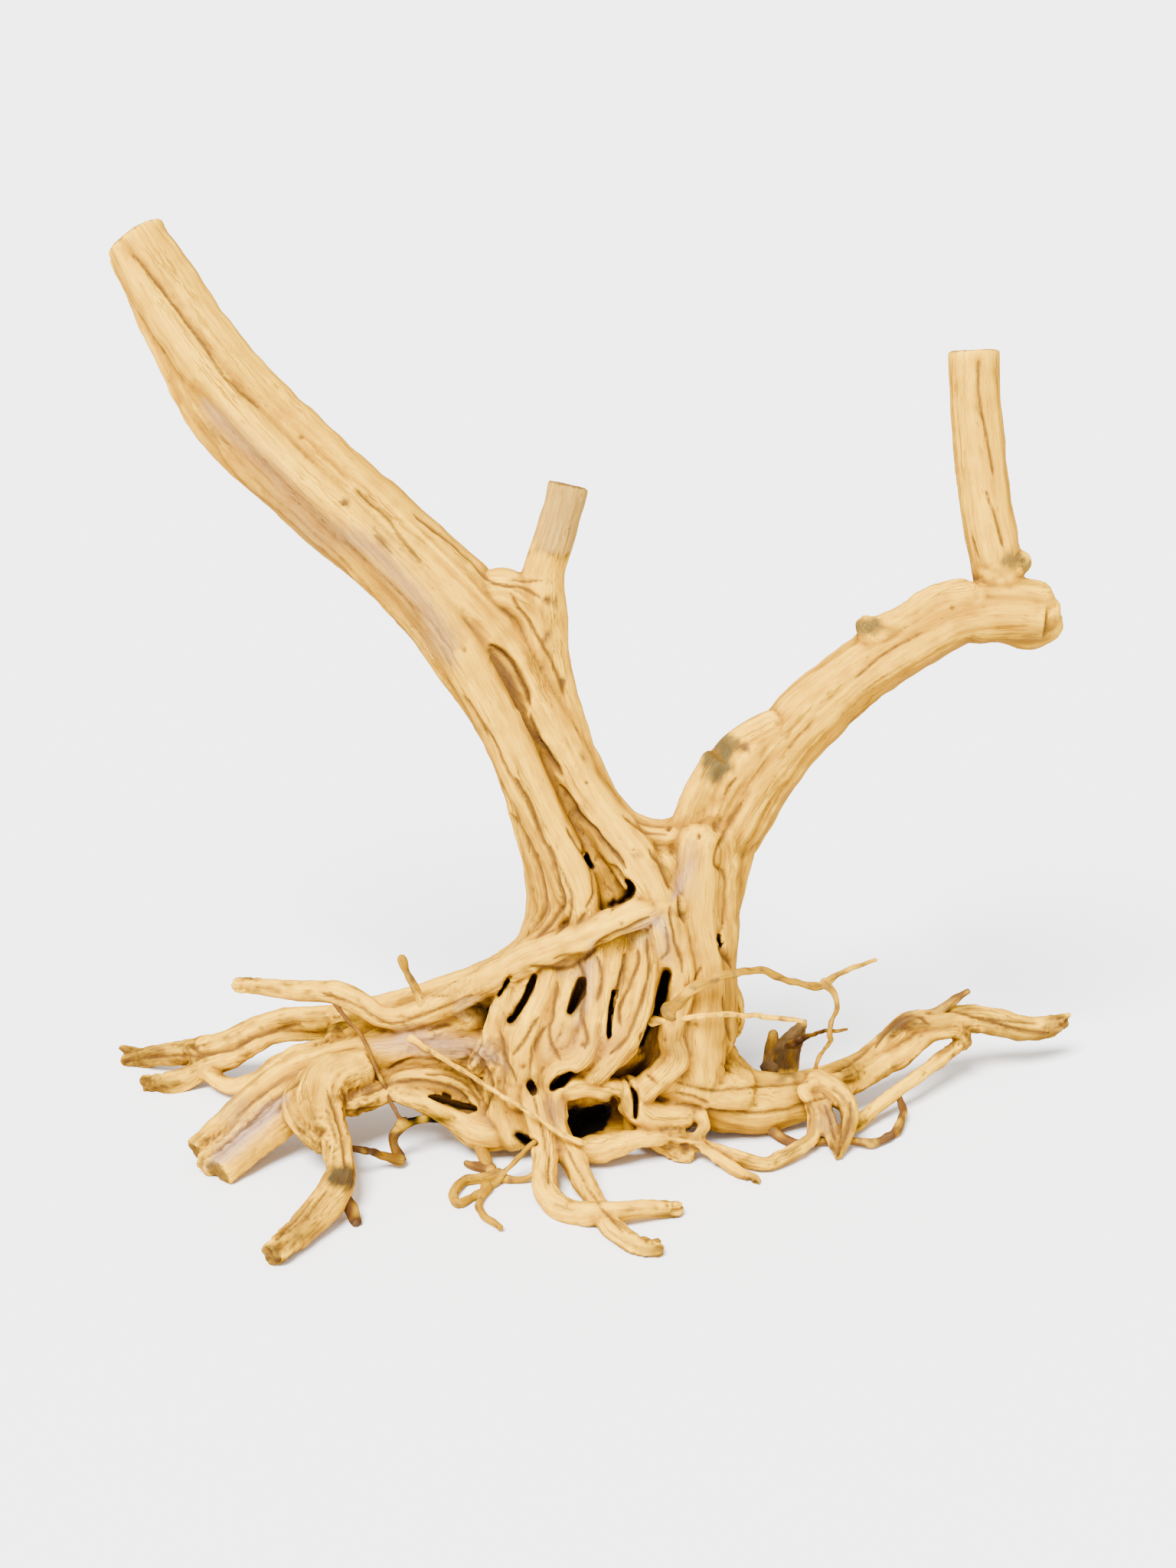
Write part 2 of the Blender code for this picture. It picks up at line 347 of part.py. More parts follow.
def bar(name, points, half, sides, spacing, flat):
    """A closed round bar of changing thickness along a smooth curve, as an object."""
    rows = smooth_curve(np.column_stack([points, half]), spacing)
    centre, radius = rows[:, :3], rows[:, 3]
    tangent = np.gradient(centre, axis=0)
    tangent /= np.linalg.norm(tangent, axis=1)[:, None]
    if not flat:
        centre, radius, tangent = rounded_ends(centre, radius, tangent)
    reference = np.eye(3)[np.abs(tangent.mean(axis=0)).argmin()]
    side = np.cross(tangent, reference)
    side /= np.linalg.norm(side, axis=1)[:, None]
    lift = np.cross(side, tangent)
    angle = np.arange(sides) * 2 * pi / sides
    ring = (side[:, None] * np.cos(angle)[None, :, None] + lift[:, None] * np.sin(angle)[None, :, None])
    skin = centre[:, None] + ring * radius[:, None, None]
    vertices = np.vstack([skin.reshape(-1, 3), centre[:1], centre[-1:]])
    rings = len(centre)
    i, j = np.meshgrid(np.arange(rings - 1), np.arange(sides), indexing="ij")
    nxt = (j + 1) % sides
    walls = np.stack([i * sides + j, (i + 1) * sides + j, (i + 1) * sides + nxt, i * sides + nxt], axis=-1)
    first, last = rings * sides, rings * sides + 1
    turn = np.arange(sides)
    caps = ([(first, int(a), int((a + 1) % sides)) for a in turn]
            + [(last, int((rings - 1) * sides + (a + 1) % sides), int((rings - 1) * sides + a)) for a in turn])
    mesh = bpy.data.meshes.new(name)
    mesh.from_pydata((vertices * MILLIMETRE).tolist(), [], walls.reshape(-1, 4).tolist() + caps)
    made = bpy.data.objects.new(name, mesh)
    bpy.context.collection.objects.link(made)
    faced_outwards(made)
    return made


def rounded_ends(centre, radius, tangent):
    """The bar's rings with two smaller rings past each end, which round it off."""
    past = np.array([0.45, 0.85])
    shrink = np.sqrt(1 - past**2)
    start = centre[0] - tangent[0] * radius[0] * past[::-1, None]
    end = centre[-1] + tangent[-1] * radius[-1] * past[:, None]
    return (np.vstack([start, centre, end]),
            np.concatenate([radius[0] * shrink[::-1], radius, radius[-1] * shrink]),
            np.vstack([tangent[:1].repeat(2, axis=0), tangent, tangent[-1:].repeat(2, axis=0)]))


def faced_outwards(made):
    """Turns every face of a closed mesh outwards."""
    shape = bmesh.new()
    shape.from_mesh(made.data)
    bmesh.ops.recalc_face_normals(shape, faces=shape.faces)
    if shape.calc_volume(signed=True) < 0:
        bmesh.ops.reverse_faces(shape, faces=shape.faces)
    shape.to_mesh(made.data)
    shape.free()


def joined(name, parts):
    """One object that holds all the parts' meshes, still overlapping."""
    shape = bmesh.new()
    for part in parts:
        shape.from_mesh(part.data)
    mesh = bpy.data.meshes.new(name)
    shape.to_mesh(mesh)
    shape.free()
    for part in parts:
        bpy.data.objects.remove(part)
    made = bpy.data.objects.new(name, mesh)
    bpy.context.collection.objects.link(made)
    return made


def applied(made):
    """Replaces the object's mesh by what its modifiers make of it."""
    graph = bpy.context.evaluated_depsgraph_get()
    mesh = bpy.data.meshes.new_from_object(made.evaluated_get(graph))
    made.modifiers.clear()
    made.data = mesh
    return made


def fused(made, voxel):
    """The overlapping bars as one skin of even small faces."""
    remesh = made.modifiers.new("Fuse", "REMESH")
    remesh.mode = "VOXEL"
    remesh.voxel_size = voxel * MILLIMETRE
    return applied(made)


def cut(made, cutters):
    """The object without the cutters' volume."""
    difference = made.modifiers.new("Pockets", "BOOLEAN")
    difference.operation = "DIFFERENCE"
    difference.solver = "MANIFOLD"
    difference.object = cutters
    applied(made)
    bpy.data.objects.remove(cutters)
    return made


def eased(made, rounds):
    """Smooths the skin by Taubin's two alternating steps, which round creases and keep thickness."""
    mesh = made.data
    count = len(mesh.vertices)
    points = np.empty(count * 3)
    mesh.vertices.foreach_get("co", points)
    points = points.reshape(-1, 3)
    edges = np.empty(len(mesh.edges) * 2, np.int64)
    mesh.edges.foreach_get("vertices", edges)
    a, b = edges.reshape(-1, 2).T
    share = np.bincount(np.concatenate([a, b]), minlength=count)[:, None]
    for step in (0.5, -0.52) * rounds:
        total = np.stack([np.bincount(a, points[b, k], count) + np.bincount(b, points[a, k], count)
                          for k in range(3)], axis=1)
        points = points + step * (total / share - points)
    mesh.vertices.foreach_set("co", points.ravel())
    mesh.update()
    return made


def thinned(made, triangles):
    """The skin with about the given number of triangles, the fewest where it is flattest."""
    shape = bmesh.new()
    shape.from_mesh(made.data)
    bmesh.ops.triangulate(shape, faces=shape.faces)
    shape.to_mesh(made.data)
    shape.free()
    decimate = made.modifiers.new("Thin", "DECIMATE")
    decimate.ratio = triangles / len(made.data.polygons)
    return applied(made)


def largest_body(made):
    """Drops loose scraps and sealed cavities, which are islands apart from the largest skin."""
    shape = bmesh.new()
    shape.from_mesh(made.data)
    left = set(shape.verts)
    islands = []
    while left:
        island = {left.pop()}
        edge = list(island)
        while edge:
            for link in edge.pop().link_edges:
                for vert in link.verts:
                    if vert in left:
                        left.remove(vert)
                        island.add(vert)
                        edge.append(vert)
        islands.append(island)
    islands.sort(key=len)
    scraps = [vert for island in islands[:-1] for vert in island]
    bmesh.ops.delete(shape, geom=scraps, context="VERTS")
    shape.to_mesh(made.data)
    shape.free()
    return made


def pocket_cutter(name, outline, depths):
    """A slot's cutter: a chain of bars, each along the sight through one point of the slot."""
    rows = np.array([(across, up, 0.0, half) for across, up, half in outline], float)
    rows = smooth_curve(rows[:, [0, 1, 2, 3]], 1.6)
    parts = []
    for n, (across, up, _, half) in enumerate(rows):
        run = [(across, up, depth, half) for depth in np.linspace(depths[0], depths[1], 3)]
        points, thickness = sighted(run)
        parts.append(bar(f"{name}_{n}", points, thickness, 8, 30, False))
    return parts


def make_wood():
    """The wood's plain finish."""
    wood = bpy.data.materials.new("bleached_wood")
    wood.use_nodes = True
    shader = wood.node_tree.nodes["Principled BSDF"]
    shader.inputs["Base Color"].default_value = WOOD_COLOUR
    shader.inputs["Roughness"].default_value = WOOD_ROUGHNESS
    shader.inputs["Metallic"].default_value = 0.0
    return wood


def make_mass():
    """The thick strands fused, with the pockets cut, as one skin of few triangles."""
    bars = []
    for name, points in STRANDS.items():
        places, half = sighted(points)
        bars.append(bar(name, places, half, 16, 3.0, name in FLAT_ENDS))
    mass = fused(joined("driftwood", bars), FUSING_VOXEL)
    largest_body(mass)
    cutters = [part for name, (outline, depths) in POCKETS.items()
               for part in pocket_cutter(name, outline, depths)]
    cutter = fused(joined("pocket_cutters", cutters), FUSING_VOXEL)
    cut(mass, cutter)
    fused(mass, FUSING_VOXEL)
    eased(mass, EASING_ROUNDS)
    largest_body(mass)
    return thinned(mass, MASS_TRIANGLES)


def add_rootlets(mass):
    """Joins the thin roots on by one Boolean union."""
    thin = bpy.data.collections.new("rootlets")
    bpy.context.scene.collection.children.link(thin)
    for name, points in ROOTLETS.items():
        places, half = sighted(points)
        rootlet = bar(name, places, half, 6, 7.0, False)
        bpy.context.collection.objects.unlink(rootlet)
        thin.objects.link(rootlet)
    union = mass.modifiers.new("Rootlets", "BOOLEAN")
    union.operation = "UNION"
    union.solver = "MANIFOLD"
    union.operand_type = "COLLECTION"
    union.collection = thin
    applied(mass)
    for rootlet in list(thin.objects):
        bpy.data.objects.remove(rootlet)
    bpy.data.collections.remove(thin)


def level_feet(mass):
    """Saws the feet off level with the floor, so that each has a small flat sole."""
    bpy.ops.mesh.primitive_cube_add(size=1.0, location=(0, 0, -0.5))
    floor = bpy.context.object
    bpy.ops.object.transform_apply()
    cut(mass, floor)
    largest_body(mass)


def main():
    for old in list(bpy.data.objects):
        bpy.data.objects.remove(old)
    mass = make_mass()
    add_rootlets(mass)
    level_feet(mass)
    across, back = FOOTPRINT_CENTRE
    for vertex in mass.data.vertices:
        vertex.co.x -= across * MILLIMETRE
        vertex.co.y -= back * MILLIMETRE
    mass.data.materials.clear()
    mass.data.materials.append(make_wood())
    mass.data.shade_smooth()


main()
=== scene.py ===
"""The looks of a piece of driftwood: a bleached root crown with two sawn limbs, standing on a pale floor.

The wood's skin is grown from the same strands as the plain model: round bars along curves, fused,
with slots and pockets cut out. Relief is then worked into the fused skin: creases where strands meet,
ridges that run along each strand, and cracks and pores that are each drawn on the leaning picture
plane. Tints are worked out at each point of the skin from its shape, with painted shade in its hollows
and undersides and painted highlight on its crests, and from listed bands and patches. All sizes are in
millimetres until a mesh is made.
"""
import json
from collections import namedtuple
from math import cos, pi, radians, sin

import bmesh
import bpy
import numpy as np
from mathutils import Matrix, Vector
from mathutils.bvhtree import BVHTree
from mathutils.kdtree import KDTree

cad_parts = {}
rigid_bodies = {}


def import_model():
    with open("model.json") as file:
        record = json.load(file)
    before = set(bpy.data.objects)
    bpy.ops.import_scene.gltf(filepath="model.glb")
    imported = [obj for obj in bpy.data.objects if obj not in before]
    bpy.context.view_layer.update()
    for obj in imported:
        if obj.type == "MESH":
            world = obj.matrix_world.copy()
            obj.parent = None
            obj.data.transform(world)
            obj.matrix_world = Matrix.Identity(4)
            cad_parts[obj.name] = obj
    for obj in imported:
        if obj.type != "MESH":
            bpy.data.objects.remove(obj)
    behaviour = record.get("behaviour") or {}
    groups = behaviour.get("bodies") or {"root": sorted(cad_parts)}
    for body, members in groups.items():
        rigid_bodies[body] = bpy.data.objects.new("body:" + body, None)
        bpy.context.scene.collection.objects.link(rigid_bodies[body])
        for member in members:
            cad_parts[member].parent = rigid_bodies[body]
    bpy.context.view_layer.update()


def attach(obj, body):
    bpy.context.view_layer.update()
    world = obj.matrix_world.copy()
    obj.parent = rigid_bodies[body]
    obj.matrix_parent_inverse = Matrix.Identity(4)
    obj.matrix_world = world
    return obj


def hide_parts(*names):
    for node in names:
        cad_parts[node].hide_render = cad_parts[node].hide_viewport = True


for old in list(bpy.data.objects):
    bpy.data.objects.remove(old)
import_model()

bl_info = {
    "name": "Driftwood root crown",
    "version": (1, 0, 0),
    "blender": (4, 5, 0),
    "location": "View3D > Sidebar > Driftwood",
    "description": "Builds a bleached piece of driftwood and a plain studio round it",
    "category": "Object",
}

MILLIMETRE = 0.001
PICTURE_LEAN = radians(20.0)
EYE_DISTANCE = 1500.0
EYE_UP = 182.0
EYE = np.array([
    0.0,
    EYE_UP * sin(PICTURE_LEAN) - EYE_DISTANCE * cos(PICTURE_LEAN),
    EYE_UP * cos(PICTURE_LEAN) + EYE_DISTANCE * sin(PICTURE_LEAN),
])
SIGHT = np.array([0.0, cos(PICTURE_LEAN), -sin(PICTURE_LEAN)])
PLANE_UP = np.array([0.0, sin(PICTURE_LEAN), cos(PICTURE_LEAN)])
FOOTPRINT_CENTRE = (3.2, -2.5)
PICTURE_HEIGHT = 819.2
SENSOR_SIZE = 36.0
FINISH_NAME = "bleached_wood_finish"

# How finely the bars are made: sides round, step along, and how lumpy their skin is.
STRAND_SIDES = 20
STRAND_STEP = 2.5
STRAND_LUMPS = 0.05
ROOTLET_SIDES = 12
ROOTLET_STEP = 1.3
ROOTLET_LUMPS = 0.16
CUTTER_SIDES = 8
CUTTER_STEP = 1.2
CUTTER_LENGTH_STEP = 30

# How finely a drawn line is read, and how far its ends and a band's ends fade away.
LINE_STEP = 0.8
LINE_TAPER = 4.0
BAND_TAPER = 12.0

# Rounds of averaging that round off the fused skin, then that part fine relief from broad.
EASING_ROUNDS = 24
FINE_ROUNDS = 5
BROAD_ROUNDS = 45

# Heights over the averaged skin that count as one whole bulge.
FINE_BULGE = 0.22
BROAD_BULGE = 1.3

# Half widths of the sunk seams between strands and of the cracks in them.
SEAM_WIDTH = 1.3
SEAM_CRACK_WIDTH = 0.6

# The thickness over which a strand carries full relief, and where thin strands' own relief comes in.
FULL_THICKNESS = 11
THIN_THICKNESS = 6

# Where the crown ends: distance from the middle, then height.
CROWN_REACH = (55, 105)
CROWN_HEIGHT = (125, 95)

# Rays that test how closed in a place is, and how far each one reaches.
SHELTER_RAYS = 10
SHELTER_REACH = 26.0

# Stands for a strand so far away that it isn't counted.
FAR_AWAY = 60.0

# How squarely a place must face the eye to be seen, and how far off the skin its ray to the eye starts.
FACING_LEAST = 0.03
CLEAR_OF_SKIN = 0.5
CLEAR_TOWARDS_EYE = 1.5

# The strands that end in a broken tip: how thin, how low and how far out, and its length in half widths.
TIP_THICKNESS = 7
TIP_HEIGHT = 110
TIP_FROM_MIDDLE = 55
TIP_LENGTH = 5.0

# A sawn face: how far its rim may lie along the limb, and how far out as a share of the half thickness.
SAWN_RIM = 3.0
SAWN_SPREAD = 1.15

# Ridges along the strands, as (height, length, width, seed): on every strand, then on thin ones.
RIDGES = ((0.60, 60, 7.0, 1), (0.34, 30, 3.0, 2))
THIN_RIDGES = ((0.30, 16, 2.4, 3),)

# Lumps in all directions, as (height, size, seed): on every strand, then on thin ones.
LUMPS = ((0.45, 15, 5),)
THIN_LUMPS = ((0.55, 6.5, 8), (0.25, 3, 9))

# A pocket's shade: how near its middle line it is looked for, where its rim lies beyond its edge, how far
# behind the rim it starts and is full, and how far past its back it starts and is full.
POCKET_REACH = 9
POCKET_RIM = (0.8, 3.5)
POCKET_DEPTHS = (0.5, 16.0)
POCKET_MARGIN = (15.0, 9.0)

# A thin root: how much it widens where it leaves the wood, over what length, and how far it wanders.
ROOTLET_FLARE = 0.45
ROOTLET_FLARE_LENGTH = 3.5
ROOTLET_WANDER = 0.8
ROOTLET_THINNEST = 0.78

# How often the grain's patterns come in a millimetre: along the strand, then across it both ways.
STREAK_SCALE = (0.030, 0.75, 0.75)
FIBRE_SCALE = (0.10, 2.2, 2.2)
DOT_SCALE = (0.16, 0.8, 0.8)
SPLIT_WAVE_SCALE = (0.020, 0.40, 0.40)
SPLIT_AREA_SCALE = (0.016, 0.11, 0.11)
SAWN_SCALE = (0.9, 0.9, 0.9)

# Thick strands, named for where they run. Each point is (across, up, depth, half thickness).
STRANDS = {
    "left_limb_core": (
        (-64, 267, 4, 19), (-42, 226, 2, 19.5), (-21, 188, 2, 21.5), (-3, 152, 2, 25),
        (7, 116, 0, 28), (8, 82, 0, 32), (4, 52, 0, 34), (0, 34, -2, 27)),
    "right_limb_core": (
        (236, 271, 30, 13.5), (224, 271, 29, 15.5), (208, 271, 27, 15), (190, 268, 24, 14),
        (170, 258, 20, 15), (150, 246, 17, 16), (130, 231, 13, 17), (112, 214, 10, 18),
        (95, 194, 8, 18.5), (80, 170, 6, 17.5), (67, 146, 6, 15.5), (56, 116, 6, 18),
        (49, 85, 4, 23), (46, 57, 2, 26), (42, 36, 0, 24)),
    "left_limb_crest": (
        (-236, 470, 61, 13.8), (-222, 448, 54, 14.8), (-204, 421, 42, 15), (-185, 397, 33, 15.2),
        (-165, 375, 26, 16), (-139, 349, 18, 17), (-113, 324, 11, 18), (-89, 302, 6, 19.2),
        (-67, 280, 3, 20.2), (-47, 258, 0, 19), (-31, 231, -4, 16.5), (-17, 205, -8, 14.5),
        (-3, 180, -12, 12), (13, 158, -16, 12.5), (27, 138, -22, 12), (37, 116, -27, 11),
        (42, 96, -29, 10), (44, 80, -29, 8)),
    "left_limb_brow": (
        (-242, 464.5, 58, 9.8), (-229, 442, 48, 11), (-211, 415, 35, 12), (-193, 391, 26, 12),
        (-172, 367, 17, 12), (-148, 343, 9, 12), (-122, 319, 1, 12), (-99, 295, -5, 12.5),
        (-80, 272, -10, 12.5), (-63, 246, -14, 12.5), (-48, 218, -18, 12.5), (-35, 190, -21, 12),
        (-23, 165, -23, 11.5), (-13, 145, -26, 11.5), (-6, 127, -29, 11), (-2, 112, -31, 9)),
    "left_limb_flange": (
        (-244, 457.5, 63, 6), (-235, 439, 56, 6.6), (-225.5, 419, 48, 7.2), (-215, 399.5, 40, 7.8),
        (-204.5, 378, 32, 8.2), (-195, 365, 27, 8.4), (-185.5, 354.5, 24, 8.4), (-165.5, 337.5, 19, 8.4),
        (-146, 319.5, 13, 8.4), (-124.5, 301.5, 8, 8.4), (-104.5, 284.5, 4, 8.4), (-84, 265.5, 2, 8.2),
        (-64, 239, 0, 8), (-53, 217, -3, 8), (-42.5, 195, -6, 8), (-37, 180, -7, 8),
        (-31.5, 164, -8, 8), (-25, 137, -10, 7.6), (-22.5, 121, -10, 7.4), (-25, 108, -8, 7),
        (-34, 94, -4, 7)),
    "left_limb_belly": (
        (-232, 448, 64, 9), (-211, 410, 52, 12), (-188, 377, 40, 14.5), (-158, 349, 30, 15.5),
        (-126, 319, 22, 16), (-97, 292, 16, 15.5), (-71, 265, 12, 15), (-46, 229, 8, 11.5)),
    "limb_stub": (
        (-10.6, 338.5, 8, 10.4), (-13, 328, 6, 10.2), (-18, 310, 3, 10), (-23, 294, 0, 10.5),
        (-25, 281, -2, 13), (-22.5, 264, -3, 11.5), (-19, 245, -5, 9.5), (-14, 227, -6, 8.5),
        (-9.5, 214, -6, 8), (-5, 200, -6, 8), (2, 186, -5, 8), (9.5, 172, -4, 8), (19, 161, -3, 8),
        (30, 156.5, -2, 8), (41, 155.5, -1, 8), (52, 159, 0, 9)),
    "stub_shoulder": (
        (-50, 282, 0, 12), (-39, 281.5, -2, 12), (-28, 272, -4, 11.5), (-24, 252, -5, 10)),
    "left_trunk_outer": (
        (-33, 190, 2, 10.5), (-27, 164, 4, 10.5), (-22.5, 136, 5, 11), (-21.5, 117, 6, 11),
        (-28, 96, 8, 10.8), (-42, 84, 11, 10.8), (-59, 77.5, 15, 10), (-78, 71.5, 21, 8.6),
        (-100, 66.5, 29, 7.2), (-120, 61, 37, 7.2), (-140, 59, 45, 7), (-155, 58.8, 52, 6.6),
        (-168, 55.5, 57, 6.8), (-180, 50, 60, 7.2), (-192, 44.5, 62, 7.8), (-205, 42, 66, 7.4),
        (-215, 41.3, 70, 6.4), (-226, 40.2, 76, 5.6), (-240, 37.8, 83, 4.2)),
    "left_trunk_second": (
        (-36, 192, -14, 7), (-29, 168, -18, 7.5), (-21, 148, -22, 7.5), (-15, 130, -25, 7),
        (-13, 115, -26, 7), (-20, 102, -24, 7), (-36, 90, -17, 7.5), (-56, 80, -9, 7)),
    "left_root_low_fork": (
        (-136, 52, 42, 4.4), (-152, 52, 47, 3.8), (-166, 49.5, 50, 4), (-177, 43.5, 52, 4.6),
        (-189, 38.5, 54, 5.8), (-200, 34, 54, 5.6), (-210, 28, 53, 5.8), (-220, 25.5, 51, 5.8),
        (-231, 27, 51, 3.6)),
    "belt_root": (
        (44, 118, -26, 8), (33, 117, -31, 8), (18, 112, -36, 8), (3, 105, -38, 7.5),
        (-14, 98, -37, 7.4), (-31, 91, -33, 7.8), (-48, 82, -27, 8), (-64, 73, -20, 8),
        (-80, 65, -13, 7.2), (-94, 60, -6, 6.6), (-107, 60, -2, 6), (-116, 65, 0, 6),
        (-125, 70.5, 2, 6), (-135, 73.5, 5, 5.6), (-150, 74, 8, 4.9), (-166, 75.5, 12, 4.7),
        (-182, 77.5, 16, 4.2)),
    "looped_root": (
        (-82, 56, -6, 7), (-96, 52, 1, 6.5), (-110, 49, 8, 5.6), (-125, 46, 15, 5),
        (-140, 43.5, 21, 4.8), (-151, 41.5, 25, 4.6), (-161, 36.5, 30, 4.6), (-170, 29.5, 34, 4.6),
        (-178, 25.3, 37, 4.2), (-187, 24, 40, 4), (-195, 28.5, 47, 3.9), (-203, 36, 55, 3.7),
        (-208, 43, 61, 3.7)),
    "wedge_root_upper": (
        (-92, 44, -6, 9), (-112, 41.5, -4, 9), (-130, 38, -2, 8.8), (-148, 33.5, 0, 8.6),
        (-164, 25, -6, 8.4), (-179, 13, -15, 8.2), (-191, 2, -25, 8), (-204.5, -11, -36, 7.6)),
    "wedge_root_lower": (
        (-146, 16, -18, 8), (-161, 3.5, -29, 7.6), (-174, -6.5, -40, 7.4), (-192.5, -21, -56, 7.4)),
    "wedge_root_heart": (
        (-134, 30, 2, 9), (-150, 23, 0, 8), (-165, 12.5, -11, 7), (-179, 1.5, -22, 6.2),
        (-195, -12.5, -38, 4.8)),
    "front_leg": (
        (-116, 34, -10, 11), (-134, 25, -22, 13.5), (-138, 10, -38, 11.5), (-132, -5, -55, 8.4),
        (-129.5, -18, -72, 7), (-132, -30, -88, 9), (-141, -41.5, -105, 8.8),
        (-152, -52.5, -122, 7.6), (-165.5, -64.5, -141, 6.8)),
    "front_leg_lobe": (
        (-146, 26, -18, 7.6), (-152, 15, -28, 7.6), (-147, 3, -42, 7), (-138, -6, -54, 5.5)),
    "left_mass": (
        (-30, 48, -8, 22), (-52, 46, -6, 15), (-75, 46, -4, 12), (-98, 42, -2, 11),
        (-120, 36, -4, 11)),
    "arch_upper": (
        (-48, 12, -22, 9), (-58, 20, -20, 8), (-70, 26, -18, 6.2), (-83, 28, -18, 5.6),
        (-97, 26, -18, 6), (-110, 19.5, -22, 6), (-124, 13, -32, 5)),
    "arch_lower": (
        (-40, 2, -28, 10.5), (-56, 1.5, -28, 10), (-69, 8.5, -27, 7.4), (-82, 15, -26, 5.8),
        (-96, 19, -24, 4.6), (-108, 22, -22, 3.4)),
    "base_lobe_left": (
        (-38, 56, -22, 13), (-42, 36, -24, 13), (-42, 17, -26, 13), (-38, 2.5, -29, 12.4)),
    "front_root_right_bend": (
        (-30, 58, -34, 7), (-31, 42, -37, 7), (-30, 26, -39, 7), (-26.5, 10, -44, 7),
        (-23, -4, -52, 6.8), (-22, -16, -62, 6.4), (-22.3, -28, -75, 6.4), (-16.5, -38, -88, 6.4),
        (-5, -42, -97, 5.8), (10, -41.8, -101, 5.2), (28, -40.2, -97, 4.8), (46, -39.6, -90, 4.6)),
    "front_root_straight": (
        (-18, 26, -34, 8), (-18.5, 9, -40, 7.6), (-13.5, -3.5, -48, 7), (-7.7, -14, -58, 6.4),
        (-2.2, -26, -70, 5.8), (4, -37, -85, 5.4), (10, -47, -104, 5.4), (19, -55, -120, 5.2),
        (28, -59, -128, 4.9), (36, -60.2, -129, 4.8)),
    "crown_strand_a": (
        (-42, 88, -22, 6), (-42, 74, -26, 6.5), (-46, 60, -28, 6.5), (-50, 46, -28, 7),
        (-56, 36, -24, 7)),
    "crown_strand_b": (
        (-18, 92, -30, 8), (-21, 78, -32, 7), (-27, 64, -34, 7.5), (-32, 50, -35, 9),
        (-33, 36, -36, 9), (-36, 20, -34, 9)),
    "crown_strand_c": (
        (6, 98, -31, 6.5), (5, 82, -34, 6.5), (4, 66, -36, 6.5), (1, 51, -38, 7),
        (-5, 40, -39, 8), (-16, 36, -38, 7), (-22, 26, -37, 6)),
    "crown_strand_d": (
        (19, 100, -28, 4.6), (17.5, 86, -32, 4.4), (15, 71, -35, 4.2), (14, 59, -37, 4.2),
        (13, 46, -38, 5), (8, 36, -38, 5)),
    "crown_strand_e": (
        (31, 104, -29, 6), (31, 90, -33, 6), (29, 76, -37, 6), (26, 62, -39, 6.2),
        (20, 49, -40, 6.4), (11, 38, -39, 6.4), (4, 30, -37, 6)),
    "crown_strand_f": (
        (44, 110, -29, 6.5), (47, 94, -30, 7), (49, 78, -31, 6.5), (47, 64, -30, 6.5),
        (44, 52, -28, 7.5), (46, 40, -28, 8), (38, 30, -32, 7), (29, 22, -31, 7), (24, 12, -28, 6)),
    "crown_plate_right": (
        (57, 150, -12, 13), (55, 130, -15, 13), (55, 110, -17, 13), (58, 92, -18, 14),
        (59, 72, -18, 14.5), (57, 52, -18, 15), (58, 34, -17, 14)),
    "crown_edge_right": (
        (79, 152, 4, 9), (74.5, 137, 4, 9), (69, 113, 6, 9.4), (67, 92, 4, 9), (66.5, 74, 2, 8.5),
        (66.5, 56, 0, 9), (69.5, 40, -2, 8.2), (83, 24.5, 0, 9), (104, 21.5, 6, 9.5)),
    "crown_ear": (
        (68, 84, 8, 5), (74, 71.5, 8, 6), (76.2, 61, 7, 6), (75, 54, 6, 5.4)),
    "fork_web": (
        (12, 156, -4, 12), (30, 148, -5, 14), (48, 148, -4, 13), (62, 158, 0, 13)),
    "fork_bridge": (
        (24, 156, -12, 5), (34, 154, -13, 5), (46, 154.5, -12, 5), (58, 156, -10, 5)),
    "fork_spur": (
        (50, 156, -6, 8), (57, 174, -6, 8), (63, 187, -5, 7.5), (68, 196.5, -5, 7)),
    "right_limb_under": (
        (64.5, 118, 12, 8.5), (72.5, 140, 14, 9), (86, 162, 14, 9.5), (99, 184, 14, 9.5),
        (114, 205, 16, 9.5), (134, 223.5, 20, 9), (155, 240, 24, 8.8), (176, 253, 28, 8.6),
        (198, 264.5, 31, 8.6), (214, 265, 32, 9)),
    "knee_swelling": (
        (73, 195, 2, 9.5), (84, 204, 2, 10), (96, 210.5, 3, 10)),
    "knot_above_knee": (
        (146, 263.5, 15, 6.2), (150, 260, 15, 8.6), (158, 261, 17, 9.5)),
    "limb_lip": (
        (152, 261, 16, 8.6), (167, 268.5, 18, 8), (181, 278.5, 20, 7.6), (196, 281.5, 22, 7.8)),
    "elbow_upper_lobe": (
        (206, 279, 27, 10), (222, 279.5, 28, 10.6), (234, 278, 29, 10)),
    "elbow_lower_lobe": (
        (206, 267, 28, 9), (218, 265, 29, 9.8), (229, 263.5, 31, 10.6), (238, 266, 33, 10)),
    "upright_stub": (
        (201.5, 408.6, 52, 12.9), (202, 390, 48, 12.8), (203, 372, 45, 12.9), (205.4, 347, 41, 13),
        (208.8, 321, 37, 13.1), (212.5, 301, 35, 13.3), (215, 286, 33, 13)),
    "upright_collar": (
        (211, 293, 30, 9), (221, 296, 31, 8), (226, 298, 32, 6)),
    "right_root": (
        (38, 27, -10, 15.5), (60, 20, -6, 17.4), (82, 16.2, 0, 16.6), (104, 17.8, 8, 14),
        (124, 24, 18, 11.2), (139, 31, 28, 8.8), (149.5, 38.8, 38, 7.2), (157, 47.6, 45, 6.4),
        (167, 56.5, 50, 6.2), (180, 57.8, 56, 6.4), (192, 59.2, 62, 7.2), (203, 59.2, 67, 7.2),
